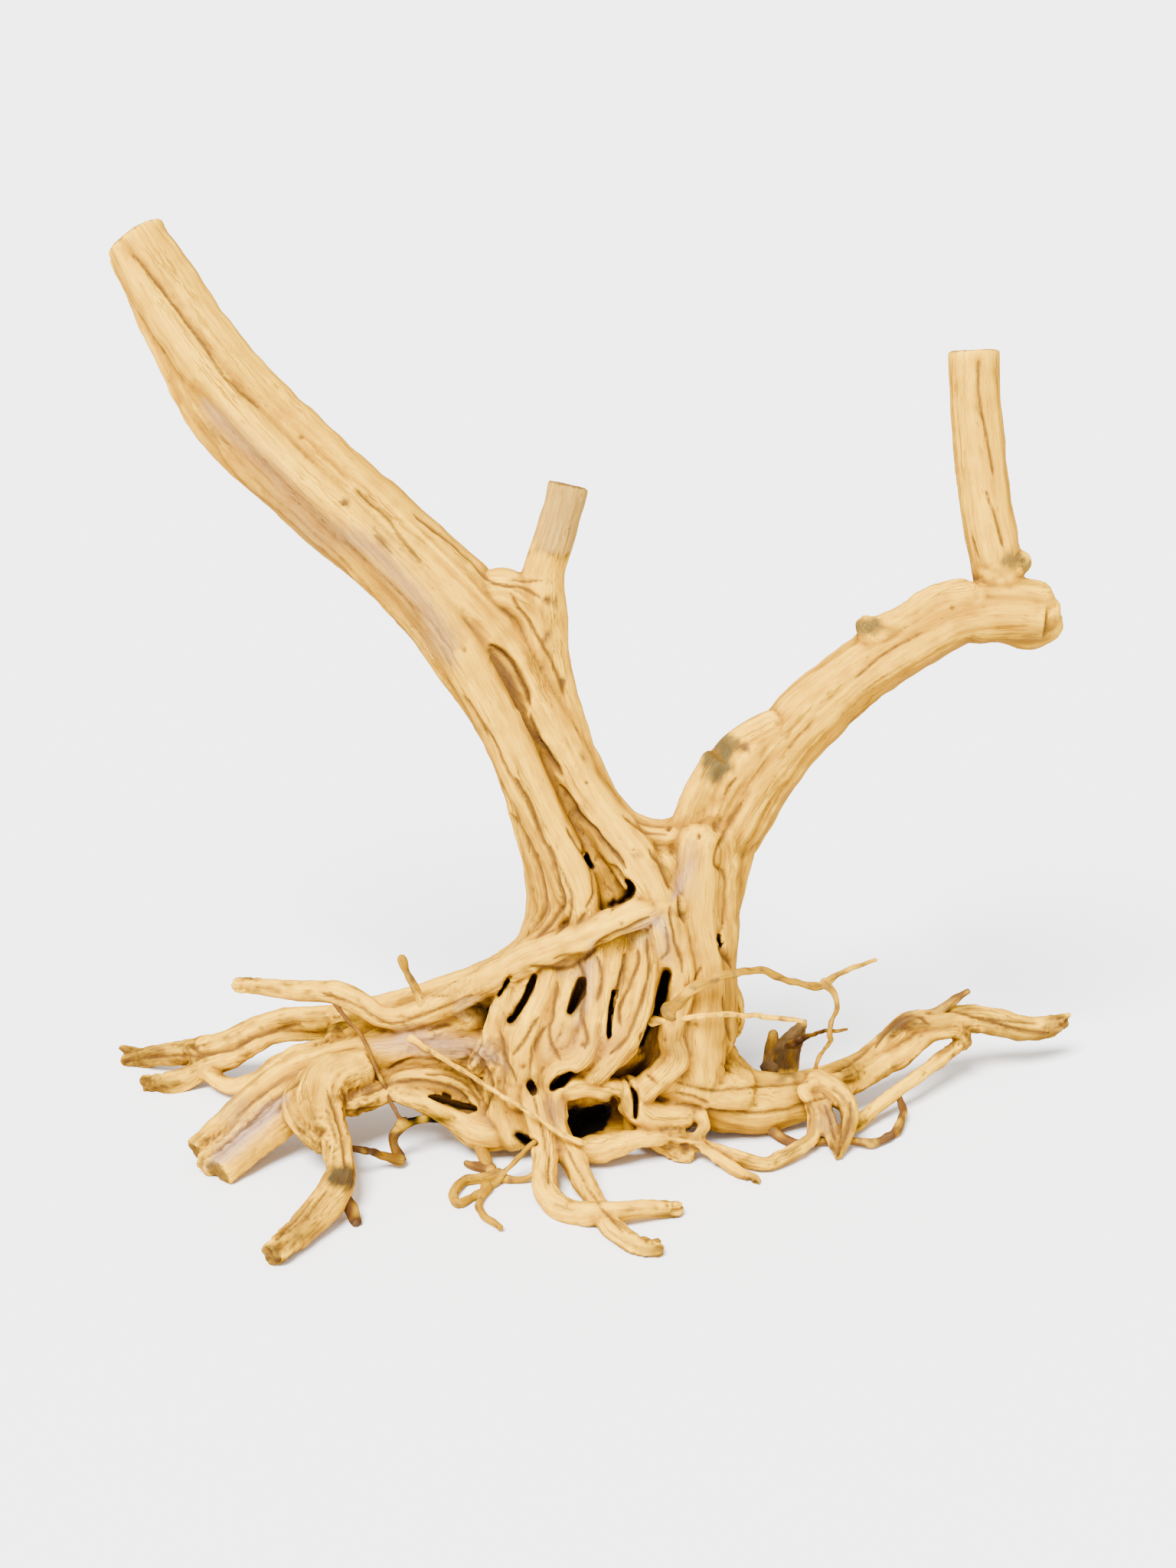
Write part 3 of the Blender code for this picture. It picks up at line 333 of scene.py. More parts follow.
        (216, 57, 73, 6.9), (229, 54.3, 78, 6.4), (239, 55, 82, 5.6), (248, 57, 86, 3.4)),
    "right_root_lower": (
        (118, 18, 8, 8), (134, 25, 18, 7.2), (149, 33, 30, 6.8), (162, 40, 40, 6.2),
        (174, 48.5, 48, 4.8), (184, 52.5, 53, 4), (193, 52.5, 57, 4.2), (197, 48.5, 58, 3.8)),
    "right_leg": (
        (121, 25, 4, 7.8), (132, 19, -4, 6.2), (137, 10, -13, 4.6), (134.5, -1, -21, 4.2),
        (132, -7, -27, 3.4), (130.5, -12, -32, 2.8)),
    "right_prop": (
        (197.5, 47, 57, 3.6), (190.5, 43, 54, 3.7), (181, 36, 44, 3.7), (171, 28, 32, 3.7),
        (161, 21.3, 21, 3.6), (151, 13.6, 11, 3.6), (142, 6.2, 2, 3.6), (135, 1.2, -8, 3.6)),
    "sill_root": (
        (-3, -8.5, -37, 6.8), (6, -8.5, -38, 7.2), (15, -6, -38, 6.4), (25, -3.8, -37, 5),
        (37, -2.6, -35, 4), (50, -3.2, -33, 3.8), (60, -6.6, -32, 3.8), (70, -10.2, -34, 3.8),
        (82, -14.2, -40, 3.8), (93, -16.6, -44, 3.8), (102, -13, -38, 3.8), (111, -7.5, -29, 3.6),
        (117, -2, -21, 3.5), (118, 8, -15, 3.3), (115.5, 16, -10, 3.3), (112, 22.5, -6, 3.3),
        (124, 26.5, 3, 3.2), (138, 31, 15, 3.2)),
    "sill_root_fork": (
        (59, 8, -27, 3.8), (61, 3, -29, 3.4), (57, -3, -32, 3.4), (60, -8, -35, 3.2),
        (71, -15.5, -42, 3.2), (80, -21.5, -51, 3.2), (88, -25, -57, 2.8)),
    "base_lobe_right": (
        (20, 22, -32, 8), (27, 12, -30, 8.5), (36, 8.5, -28, 8.5), (48, 8.5, -25, 8)),
    "base_lobe_rear": (
        (30, 6, -20, 12), (41, -4, -26, 7.4), (47.5, -8.5, -30, 7), (51.5, -11, -33, 5.4)),
    "cave_rim_left": (
        (-22, 16, -36, 7), (-16, 20, -36, 6), (-7, 24, -36, 6), (4, 24, -36, 6), (13, 22, -36, 6)),
    "back_ridge_left": (
        (-66, 250, 12, 8), (-42, 220, 19, 11), (-24, 172, 25, 14), (-6, 130, 30, 16), (-2, 95, 36, 15),
        (-18, 70, 46, 13), (-40, 58, 62, 11), (-62, 54, 86, 8.5), (-84, 53, 117, 7)),
    "back_ridge_right": (
        (112, 212, 14, 8), (94, 192, 19, 11), (69, 145, 25, 13), (53, 106, 31, 15), (46, 77, 44, 14),
        (45, 61, 68, 11), (43, 57, 98, 8.5), (38, 58, 131, 7)),
    "back_root_middle": (
        (8, 72, 34, 15), (-2, 57, 58, 11), (-6, 53, 84, 8.5), (-2, 54, 110, 7),
        (6, 57.5, 131, 6)),
    "back_web": (
        (16, 160, 6, 9), (18, 142, 18, 14), (22, 110, 28, 17), (22, 80, 32, 18), (20, 58, 34, 17)),
    "back_root_right": (
        (56, 38, 20, 13), (74, 25, 32, 10.5), (90, 21, 42, 9), (104, 26, 54, 7.5)),
    "broken_stump": (
        (101.5, 26, 46, 7.6), (102, 33, 48, 7.8), (103, 40, 48, 7.6), (105.5, 46, 47, 6.2),
        (109, 51.5, 46, 4.4), (112.5, 57, 46, 2.9)),
    "left_web": (
        (-24, 90, -16, 11), (-42, 78, -8, 10), (-62, 69, 0, 8.5), (-82, 62, 6, 8), (-100, 58, 12, 7),
        (-118, 53, 17, 6), (-132, 50.5, 22, 6)),
    "left_backing": (
        (-30, 24, 6, 18), (-48, 18, 6, 15), (-66, 17, 4, 12), (-84, 21, 2, 9), (-104, 26, 0, 8),
        (-122, 26, -4, 8)),
    "cave_back": (
        (-34, 12, 1, 13), (-10, 10.5, 0, 13.5), (14, 10.5, 0, 13.5), (38, 12, -1, 13)),
}

# Thin roots, which make up a piece of their own. Same columns as the strands.
ROOTLETS = {
    "hanging_thread": (
        (-134, 71, 3, 1.7), (-128, 61, -4, 1.5), (-120, 53, -10, 1.4), (-114, 41, -16, 1.4),
        (-109, 29, -22, 1.4), (-102, 14, -28, 1.4), (-96, 5, -32, 1.6)),
    "thread_bridge": (
        (-97.5, 4, -33, 2.3), (-90, 6, -30, 2.2), (-82, 8, -27, 2.4), (-72, 6, -26, 2.6)),
    "thread_foot": (
        (-96, 5, -32, 2.2), (-102, -3, -34, 2.6), (-100, -10, -36, 2.6), (-98, -14.5, -40, 3),
        (-108, -12, -43, 2.2), (-118, -9, -51, 2.1), (-129, -7, -58, 2)),
    "long_diagonal": (
        (-92, 49, -10, 1.9), (-71, 35.5, -28, 1.7), (-50, 22.5, -45, 1.6), (-30, 10, -56, 1.6),
        (-14, -0.5, -60, 1.8), (-2, -6, -58, 2)),
    "upright_rootlet": (
        (-84, 64, -14, 3), (-88, 72, -12, 2.4), (-93, 81, -11, 2.1), (-97.5, 90, -11, 2.6)),
    "knee_knob": (
        (-129, -32, -90, 3.6), (-123, -41, -96, 3.2), (-121.5, -47, -100, 2.8)),
    "tangle_stem": (
        (-58, 4, -28, 3.4), (-57, -5, -33, 3.2), (-54.5, -13, -39, 3), (-51, -19, -46, 3),
        (-47, -23.6, -54, 2.8), (-35, -24.5, -57, 1.9), (-27.5, -21, -56, 1.9), (-21, -15, -60, 1.9)),
    "tangle_loop": (
        (-47, -23.6, -54, 2.8), (-56, -24.5, -56, 2.8), (-65, -25.5, -59, 2.7), (-70.4, -32, -72, 2.7),
        (-68, -37, -82, 2.6), (-60, -33.5, -74, 2.3), (-47, -25, -59, 2), (-35.7, -12.5, -54, 1.8),
        (-24, -2, -52, 1.8)),
    "tangle_tail": (
        (-53, -29, -66, 2.4), (-57, -36, -79, 2.3), (-55, -43, -93, 2.1), (-49.5, -47.3, -101, 2),
        (-45.8, -49.8, -106, 1.9)),
    "tangle_spur": (
        (-51, -19.5, -46, 2.4), (-57, -18, -43, 2.4), (-63, -16, -39, 2)),
    "branching_whip": (
        (44, 64, -32, 4), (49, 71, -37, 3.2), (58, 77.5, -38, 2.8), (70, 82, -34, 2.5),
        (80, 83.5, -29, 2.3), (90, 84.5, -24, 2.2), (100, 81, -20, 2.1), (110, 78, -17, 2.1),
        (119, 76, -15, 2.2), (126, 79, -13, 2.1), (133, 84, -11, 1.9), (142, 87.5, -8, 1.7),
        (150, 90, -5, 1.3)),
    "whip_branch": (
        (124, 78, -14, 2), (129, 72, -14, 1.8), (129.5, 65, -13, 1.7), (127, 58, -11, 1.6),
        (126.3, 51, -9, 1.6), (127.5, 47.3, -7, 1.4), (123, 43, -2, 1.3), (120, 38, 4, 1.4),
        (118, 31, 9, 1.5)),
    "straight_whip": (
        (34, 58, -30, 2), (50, 59.8, -36, 1.8), (65, 61.2, -37, 1.7), (81, 61.2, -30, 1.7),
        (97, 59.6, -20, 1.6), (112, 58, -10, 1.5)),
    "stump_prong": (
        (97.5, 36, 48, 5.2), (96.3, 43, 50, 4), (96.8, 51, 50, 2.6)),
    "stump_twig": (
        (106, 46, 44, 2.4), (115, 50.7, 34, 1.6), (122.5, 53, 18, 1.4), (129, 53.2, -9, 1.4),
        (135.5, 53.7, -9, 1)),
    "far_loop": (
        (93, 6, -4, 3.2), (100, -1.5, -11, 2.8), (108, -5.8, -18, 2.6), (120, -4.6, -17, 2.4),
        (131, -4.2, -19, 2.3), (140, -4.2, -18, 2.3), (149, -5.8, -19, 2.4), (157, -2.6, -11, 2.3),
        (163, 4.5, 2, 2.4), (164.5, 12, 13, 2.2), (162, 20, 23, 2)),
    "right_spur": (
        (178, 60, 56, 3), (186, 65, 58, 2.6), (192, 70, 59, 2.4), (198, 73.2, 60, 1.8)),
    "rear_whip_left": (
        (-40, 62, 58, 3.4), (-58, 66, 74, 2.6), (-74, 66, 92, 2.2), (-92, 60, 104, 1.8),
        (-108, 58, 112, 1.5)),
    "rear_whip_right": (
        (48, 64, 60, 3.4), (58, 56, 82, 2.6), (62, 52, 100, 2.1), (56, 52, 116, 1.7)),
    "rear_whip_high": (
        (30, 100, 42, 3.2), (26, 92, 58, 2.6), (14, 84, 70, 2.1), (4, 82, 84, 1.7),
        (2, 76, 98, 1.4)),
}

# Slots and pockets, sunk along the sight from their first depth to their second.
# Each is (across, up, half width) along its length, then (front depth, back depth).
POCKETS = {
    "knot_hole": (((-1.5, 144, 1.9), (2, 138.5, 1.9)), (-50, -10)),
    "eye_hole": (((21, 131, 2.2), (23, 127, 3), (20, 122, 1.6), (12, 118.5, 1.2)), (-50, -14)),
    "tall_slot": (((41, 83, 3.2), (38.5, 72, 3.4), (35, 62, 2.6), (31, 54, 1.8), (27, 45, 1)), (-60, -6)),
    "left_slot": (((-28, 82, 2.4), (-31, 74, 2.8), (-35, 66, 2.6), (-40.5, 58.5, 2.8)), (-60, -20)),
    "left_slit": (((-40, 82, 1.1), (-43.5, 77, 1.9), (-47, 70.5, 1)), (-60, -16)),
    "oval_window": (((-4, 80, 2.6), (-5.5, 72, 4), (-9, 63, 2.8)), (-60, -26)),
    "middle_slit": (((14, 76, 0.9), (11.5, 64, 1.5), (11, 50, 1.3)), (-60, -24)),
    "low_window": (((-18.4, 24, 3.2), (-13.5, 27.5, 3.8), (-8.7, 31, 2.2)), (-70, -16)),
    "cave": (((-4, 0, 5.5), (-4, 6, 9), (3, 8.5, 8.5), (7, 12, 5.5)), (-90, -14)),
    "right_nick": (((19.6, 28, 1), (22.9, 23, 1.4), (24.7, 18.5, 2.2), (24.7, 7.3, 1.3)), (-60, -22)),
    "arch_slot": (((-82.3, 18.8, 1.8), (-75, 16.3, 2.8), (-66, 13, 2.8), (-59, 12.4, 2.4)), (-60, -16)),
    "under_hollow": (((-37, -1, 2.6), (-32, -4, 3), (-27.5, -6, 2.6)), (-90, -30)),
    "side_slit": (((68.5, 106, 0.9), (68, 101, 1.6), (69.5, 97, 0.8)), (-40, -6)),
    "broken_tube": (((13, 17, 3), (14.6, 16, 3)), (-60, -30)),
    "brown_pocket": (((-31, 26, 1.8), (-30, 23, 2), (-28, 21, 1.8)), (-60, -36)),
}

FLAT_ENDS = {"left_limb_crest", "left_limb_brow", "left_limb_flange", "limb_stub", "upright_stub",
             "front_leg", "wedge_root_upper", "wedge_root_lower", "fork_spur", "right_limb_core"}

# Webs of wood that fill the hollows between neighbouring strands, and small prongs at the root tips.
# Same columns as the strands.
WEBS = {
    "crown_web_1": ((-36, 88, -18, 10), (-38, 72, -22, 11), (-42, 56, -24, 11), (-46, 40, -21, 11)),
    "crown_web_2": ((-26, 90, -21, 12), (-30, 74, -25, 13), (-36, 56, -26, 13), (-42, 42, -24, 13)),
    "crown_web_3": ((-8, 96, -25, 12), (-8, 80, -28, 13), (-12, 64, -29, 14), (-18, 50, -30, 14),
                    (-24, 38, -28, 14)),
    "crown_web_4": ((12, 102, -23, 12), (11, 86, -27, 13), (10, 70, -29, 14), (8, 54, -30, 14),
                    (0, 42, -29, 13)),
    "crown_web_5": ((26, 104, -21, 12), (26, 88, -26, 13), (23, 72, -29, 14), (18, 58, -31, 14),
                    (12, 46, -31, 13)),
    "groove_web": ((-232, 446, 57, 8), (-214, 406, 40, 8.5), (-200, 381, 28.5, 9.2), (-175, 350, 16, 10),
                   (-147, 326, 8.5, 10.5), (-119, 301, 1.5, 10.5), (-97, 279, -3, 10.5),
                   (-77, 254, -7, 10), (-59, 227, -9, 9), (-46, 206, -11, 8), (-36, 186, -12, 6.5)),
    "plate_step": ((38, 140, -17, 9), (44, 126, -18, 10), (48, 112, -20, 10), (50, 98, -21, 10)),
    "edge_step": ((68, 150, -3, 10), (66, 134, -5, 11), (63, 116, -6, 11), (63, 96, -6, 11)),
    "left_tip_prong_high": ((-231, 40, 79, 3.6), (-238, 42, 82, 2.7), (-244, 44.5, 84, 1.7)),
    "left_tip_prong_low": ((-229, 37, 78, 3.6), (-237, 33.5, 82, 2.6), (-243, 31, 84, 1.6)),
    "low_tip_prong": ((-220, 26, 52, 4.6), (-229, 22, 50, 3.2), (-234, 19.5, 49, 2)),
    "low_tip_knob": ((-212, 25, 53, 5), (-218, 20.5, 50, 4.4), (-223, 21, 50, 3)),
    "right_tip_prong": ((238, 56, 82, 4.5), (246, 59.5, 85, 3), (251, 61.5, 87, 1.8)),
    "arch_web": ((-58, 30, -10, 9), (-74, 33, -8, 8.5), (-92, 32, -7, 7.5), (-108, 30, -8, 7)),
    "leg_plate": ((118, 20, 0, 6), (124, 9, -12, 4.2), (127, 0, -20, 3.8), (129, -7, -27, 3)),
    "slit_web": ((-50, 246, -8, 9), (-42, 236, -10, 9), (-36, 222, -12, 8.5), (-28, 204, -14, 8)),
    "plate_face": ((46, 144, -9, 10), (50, 134, -11, 14), (54, 118, -13, 15), (56, 100, -13, 16)),
    "leg_web": ((-134, 29, -18, 13), (-143, 17, -30, 12), (-139, 5, -44, 9)),
    "crown_web_6": ((48, 112, -16, 12), (50, 94, -18, 13), (52, 76, -19, 13), (52, 58, -18, 14),
                    (52, 42, -16, 14)),
    "trunk_web": ((-30, 190, -4, 12), (-24, 164, -8, 13), (-18, 140, -11, 14), (-14, 120, -12, 14),
                  (-18, 104, -12, 13)),
    "plate_web_left": ((46, 150, -4, 14), (46, 130, -8, 14), (46, 112, -11, 14)),
    "plate_web_right": ((68, 160, 0, 13), (66, 140, -3, 14), (64, 118, -4, 15), (63, 96, -6, 15),
                        (63, 74, -7, 15), (63, 52, -8, 15)),
    "spur_web": ((56, 158, -3, 12), (65, 174, -1, 12), (75, 188, 0, 12), (86, 199, 1, 12)),
    "knee_web": ((84, 196, 2, 12), (104, 208, 4, 13), (124, 224, 9, 13), (140, 240, 13, 12)),
    "lip_web": ((150, 254, 18, 12), (168, 264, 20, 12), (186, 274, 22, 11), (200, 277, 24, 11)),
    "elbow_web": ((210, 273, 28, 13), (224, 272, 29, 13), (236, 272, 30, 11)),
    "base_web_left": ((-30, 40, -22, 14), (-30, 24, -24, 14), (-28, 8, -28, 12)),
    "base_web_right": ((40, 32, -18, 14), (56, 26, -14, 15), (74, 22, -8, 15)),
    "wedge_web": ((-148, 24, -8, 9), (-168, 9, -22, 9), (-184, -5, -35, 8.6), (-197, -15, -45, 7.6)),
    "mass_web": ((-60, 62, -6, 12), (-76, 56, -4, 11), (-94, 50, 0, 10), (-112, 44, 4, 9)),
}

# Creases and cracks of the front, drawn on the picture plane.
# Each is (half width, depth, darkness, its points as (across, up)); the darkness is shade painted down in the
# crease.
LINES = {
    "limb_channel": (5.5, 1.2, 0.0, (
        (-206, 392), (-202, 385), (-183, 361), (-160, 339), (-131, 316), (-100, 290), (-82, 272),
        (-65, 252))),
    "limb_channel_shadow": (1.2, 0.4, 0.0, (
        (-190, 361), (-166, 338), (-136, 313), (-108, 290), (-90, 273))),
    "trunk_crease_inner": (1.3, 1.7, 0.75, (
        (-38, 185), (-29, 167), (-24.4, 154), (-19.7, 146), (-16.9, 138), (-14, 127.5), (-12.6, 120.5),
        (-14, 116), (-19.7, 109), (-26.6, 102))),
    "trunk_crease_outer": (1.1, 1.4, 0.5, (
        (-40, 167), (-33.6, 157), (-29, 147), (-25.5, 140), (-23.2, 130), (-21.5, 120.5),
        (-22.6, 115), (-26.6, 109))),
    "trunk_side_crease": (1.1, 1.2, 0.4, (
        (-64.5, 228), (-58, 217), (-48.5, 203), (-40.5, 187), (-32.5, 173), (-27, 161))),
    "middle_crack_upper": (1.2, 2.2, 0.9, (
        (-35, 220), (-30, 211), (-24.5, 203), (-19, 195), (-14.5, 187))),
    "middle_crack_lower": (1.4, 2.4, 0.95, (
        (-14, 180.5), (-10, 174.7), (-7.6, 171), (-6, 166.6), (0, 161), (4.5, 157.4), (8, 152.2),
        (15, 144.7), (19.5, 138))),
    "second_crack_upper": (1, 1.4, 0.6, ((-10, 169), (-7, 162), (-2.4, 154))),
    "second_crack_lower": (1, 1.6, 0.7, ((-11.6, 158.6), (-7, 151.6), (-1.8, 144.7), (0.4, 141.2))),
    "bowl_rim": (1.1, 1.4, 0.55, ((12.6, 140), (16, 136.6), (18.4, 133), (22.4, 131))),
    "bowl_lip": (1, 1.4, 0.6, ((10.3, 118), (17.2, 120), (20.6, 122.8))),
    "below_spur": (1.2, 1.5, 0.6, ((32, 148), (38, 139), (42.6, 127))),
    "plate_dark_crease": (1.4, 2, 0.9, ((47, 123), (48.3, 116), (50.6, 110))),
    "plate_crease": (1.1, 1.4, 0.55, (
        (43, 118), (43.7, 109), (45.4, 99.7), (48.3, 90.5), (49.5, 83.6))),
    "plate_nick": (1, 1, 0.4, ((60, 88), (55, 80))),
    "edge_crease_upper": (1.2, 1.4, 0.32, (
        (80.7, 173.5), (75, 164), (70, 154), (66.8, 141), (71.4, 134), (71.4, 117), (69.7, 106.6))),
    "edge_crease_lower": (1.2, 1.7, 0.75, ((68, 99.7), (70.3, 94), (75, 86))),
    "knee_crease": (1, 1, 0.3, ((77, 185), (71.4, 177))),
    "belt_lower_lip": (1.2, 1.8, 0.55, (
        (32, 112.4), (18.4, 106), (8, 101), (-2.4, 90.5), (-11.6, 86), (-30, 86.5))),
    "belt_line": (0.8, 0.8, 0.4, ((-18.6, 90.5), (-9.3, 92.8), (-2.4, 95))),
    "slanting_crease": (1, 1.2, 0.6, ((-6, 108), (0, 116))),
    "crown_slit_left": (1, 2, 0.95, ((19.5, 94), (17.2, 81), (13.7, 70), (11.4, 58), (10.8, 48))),
    "crown_slit_right": (0.9, 1.5, 0.7, (
        (26.4, 96), (25.8, 88), (21.8, 77), (17.2, 67), (16, 59), (17.8, 55))),
    "big_slot_tail": (1.2, 2, 0.8, ((30.4, 53.6), (28, 49), (29.3, 43), (27, 41))),
    "foot_crease_left": (1.1, 1.4, 0.6, ((-20.3, 57), (-25.5, 50), (-27.8, 42))),
    "foot_crease_middle": (0.9, 1, 0.5, ((-14, 52.4), (-16.3, 47.8))),
    "ear_crease": (1.1, 1.6, 0.6, ((70.3, 72), (72, 59), (74.3, 48))),
    "ear_foot": (0.9, 1, 0.45, ((69, 36.3), (76, 30.5))),
    "low_crease": (0.9, 1, 0.5, ((-9.3, 29.4), (-2.4, 32.8))),
    "nick_crease": (1, 1.3, 0.6, ((30, 30.5), (37.4, 24.2))),
    "sill_crease": (1, 1.4, 0.6, ((46, 21), (63.4, 15.5))),
    "left_pores": (1.2, 1.4, 0.7, ((-83, 53), (-76, 55.5), (-70.5, 56))),
    "left_nick": (0.9, 1, 0.5, ((-81, 71.5), (-74, 71.5))),
    "arch_lip": (1.2, 1.8, 0.6, (
        (-84.7, 30.6), (-75, 31), (-64.4, 26), (-57.8, 17), (-57, 13))),
    "arch_dark": (1.6, 2.2, 0.95, ((-82.3, 18.8), (-75, 16.3), (-64, 12.2), (-58.6, 12.2))),
    "crotch_line": (1, 1.2, 0.5, ((18, 165.5), (30, 157), (41, 155))),
    "mass_nick": (0.9, 1, 0.45, ((-102, 34), (-92, 39))),
    "limb_long_crack": (0.7, 1.2, 0.6, (
        (-239, 460), (-228, 447), (-215, 430), (-200, 410), (-190, 395), (-172, 378))),
    "limb_second_crack": (0.9, 1.3, 0.6, ((-122, 337), (-115, 329), (-107, 323), (-98, 311), (-86, 296))),
    "limb_third_crack": (0.9, 1.2, 0.5, (
        (-91, 323), (-75, 311), (-62, 299), (-52.5, 289), (-43, 285), (-35, 285), (-24.5, 279))),
    "shoulder_crease": (0.8, 0.9, 0.4, ((-43, 288), (-24.5, 288))),
    "stub_root_crease": (1, 1.4, 0.55, (
        (-40.5, 281), (-30, 265), (-23, 253), (-16.5, 240), (-12.5, 229))),
    "slit_tail": (1.1, 1.8, 0.85, ((-30.5, 219), (-26.5, 208), (-21, 197), (-14.5, 187))),
    "slit_hollow": (3.6, 2.4, 0.0, ((-51, 252), (-46, 247), (-41, 239), (-37, 230), (-33, 220))),
    "crown_crease_a": (1.2, 1.6, 0.75, ((-4.3, 88.5), (-1.4, 78.4), (-2.9, 61), (0, 49.6), (-1.4, 43.8))),
    "crown_crease_b": (1, 1.3, 0.6, ((4.3, 92.8), (7.2, 81.3), (4.3, 66.9))),
    "crown_crease_c": (1.1, 1.5, 0.65, ((-15.8, 78.4), (-18.7, 61), (-20.2, 49.6), (-14.4, 38))),
    "crown_crease_d": (1.2, 1.6, 0.7, ((30.2, 101), (31.7, 84), (27.4, 67), (20.2, 49.6), (11.5, 41))),
    "crown_crease_e": (1.1, 1.4, 0.65, ((-26, 60), (-33, 48), (-38.9, 41))),
    "crown_crease_f": (1, 1.3, 0.6, ((-46, 52.5), (-43.2, 38), (-37.4, 26.6))),
    "crown_crease_g": (1.2, 1.5, 0.7, ((-63.4, 43.8), (-54.7, 35.2), (-50.4, 20.8), (-54.7, 9.3))),
    "crown_crease_h": (1, 1.3, 0.65, ((40.3, 107), (42, 95), (38, 90))),
    "trunk_fibre_a": (1, 1.2, 0.5, ((-57, 200), (-46, 183.5), (-36, 164.8), (-31, 146))),
    "trunk_fibre_b": (1, 1.2, 0.55, ((-20, 150), (-15, 139), (-9, 124.5), (-10, 112), (-17, 104))),
    "trunk_fibre_c": (0.9, 1, 0.5, ((-3, 150), (1, 138), (3, 126), (-2, 116))),
    "trunk_fibre_d": (0.9, 1, 0.5, ((8, 130), (14, 124), (12, 114))),
    "right_root_line_a": (1, 1.1, 0.55, ((46, 26.6), (63.4, 21.8), (86.4, 23.7), (115, 26.6))),
    "right_root_line_b": (1, 1.1, 0.5, ((46, 15), (69, 11), (98, 11), (124, 18))),
    "right_root_line_c": (0.9, 1.1, 0.6, ((128, 31), (140, 38), (150, 47), (160, 56))),
    "right_root_line_d": (0.9, 1.1, 0.7, ((176, 62), (190, 63), (204, 60), (220, 58), (236, 57))),
    "arch_line_a": (1, 1.3, 0.55, ((-106, 32.4), (-90.9, 38.5), (-74.5, 37), (-60.8, 30), (-56, 19))),
    "arch_line_b": (1.5, 1.8, 0.85, ((-118, 20), (-102, 26), (-88, 27), (-72, 23), (-62, 15))),
    "arch_line_c": (1, 1.3, 0.6, ((-121, 11), (-102, 13.5), (-91, 9.5), (-77, 2.3), (-63.5, -6))),
    "leg_line_a": (1, 1.3, 0.6, ((-136, 22), (-131, 8), (-128, -6), (-127, -18))),
    "leg_line_b": (0.9, 1.1, 0.6, ((-136, -30), (-146, -42), (-158, -54))),
    "leg_line_c": (0.9, 1.1, 0.5, ((-143, -34), (-152, -44), (-164, -58))),
    "wedge_edge_line": (1.1, 1.4, 0.5, ((-150, 27), (-165, 16), (-182, 0), (-200, -14))),
    "fork_root_line": (0.9, 1.1, 0.6, ((-150, 57), (-170, 51), (-190, 42), (-212, 40), (-232, 39))),
    "belt_root_line": (0.9, 1, 0.5, ((-60, 72), (-84, 62), (-104, 57), (-120, 66), (-140, 73))),
    "front_root_line_a": (0.9, 1.1, 0.5, ((-29, 46), (-30, 26), (-25, 6), (-21, -14), (-21, -28))),
    "front_root_line_b": (0.9, 1.1, 0.5, ((-12, -8), (-4, -22), (6, -38), (18, -52))),
    "tip_under": (1.2, 1.4, 0.8, ((203, 60), (214, 57), (228, 53), (241, 52))),
    "swirl_line": (1.1, 1.4, 0.7, ((150, 44), (156, 54), (163, 60), (172, 61), (178, 56))),
    "plate_torn_a": (1, 1.2, 0.8, ((124, 14), (127, 4), (130, -6))),
    "plate_torn_b": (0.9, 1, 0.7, ((131, 16), (132, 6), (132, -5))),
    "plate_torn_c": (0.9, 1, 0.7, ((137, 15), (136.5, 5), (134, -5))),
    "slit_dark_edge": (1.5, 3.6, 0.97, (
        (-51, 254.7), (-44.5, 250.7), (-39, 244), (-35, 236.7), (-32, 229), (-30.5, 222.7))),
    "right_limb_seam": (0.7, 0.8, 0.45, ((190, 286), (205, 290))),
    "upright_seam": (0.8, 1.2, 0.6, ((204, 405), (204, 385), (207, 370), (212, 343))),
    "upright_lower_seam": (0.8, 1.1, 0.5, ((208, 335), (213, 320), (217, 305))),
    "upright_short_seam": (0.7, 0.9, 0.4, ((201, 312), (204, 300))),
    "right_limb_line": (0.8, 0.9, 0.4, ((138, 236), (155, 250), (175, 262))),
    "right_limb_low_line": (0.8, 0.9, 0.4, ((104, 200), (120, 218))),
    "groove_floor_line": (0.8, 0.6, 0.12, (
        (-196, 366), (-170, 345), (-140, 318), (-115, 297), (-98, 281), (-84, 268))),
}
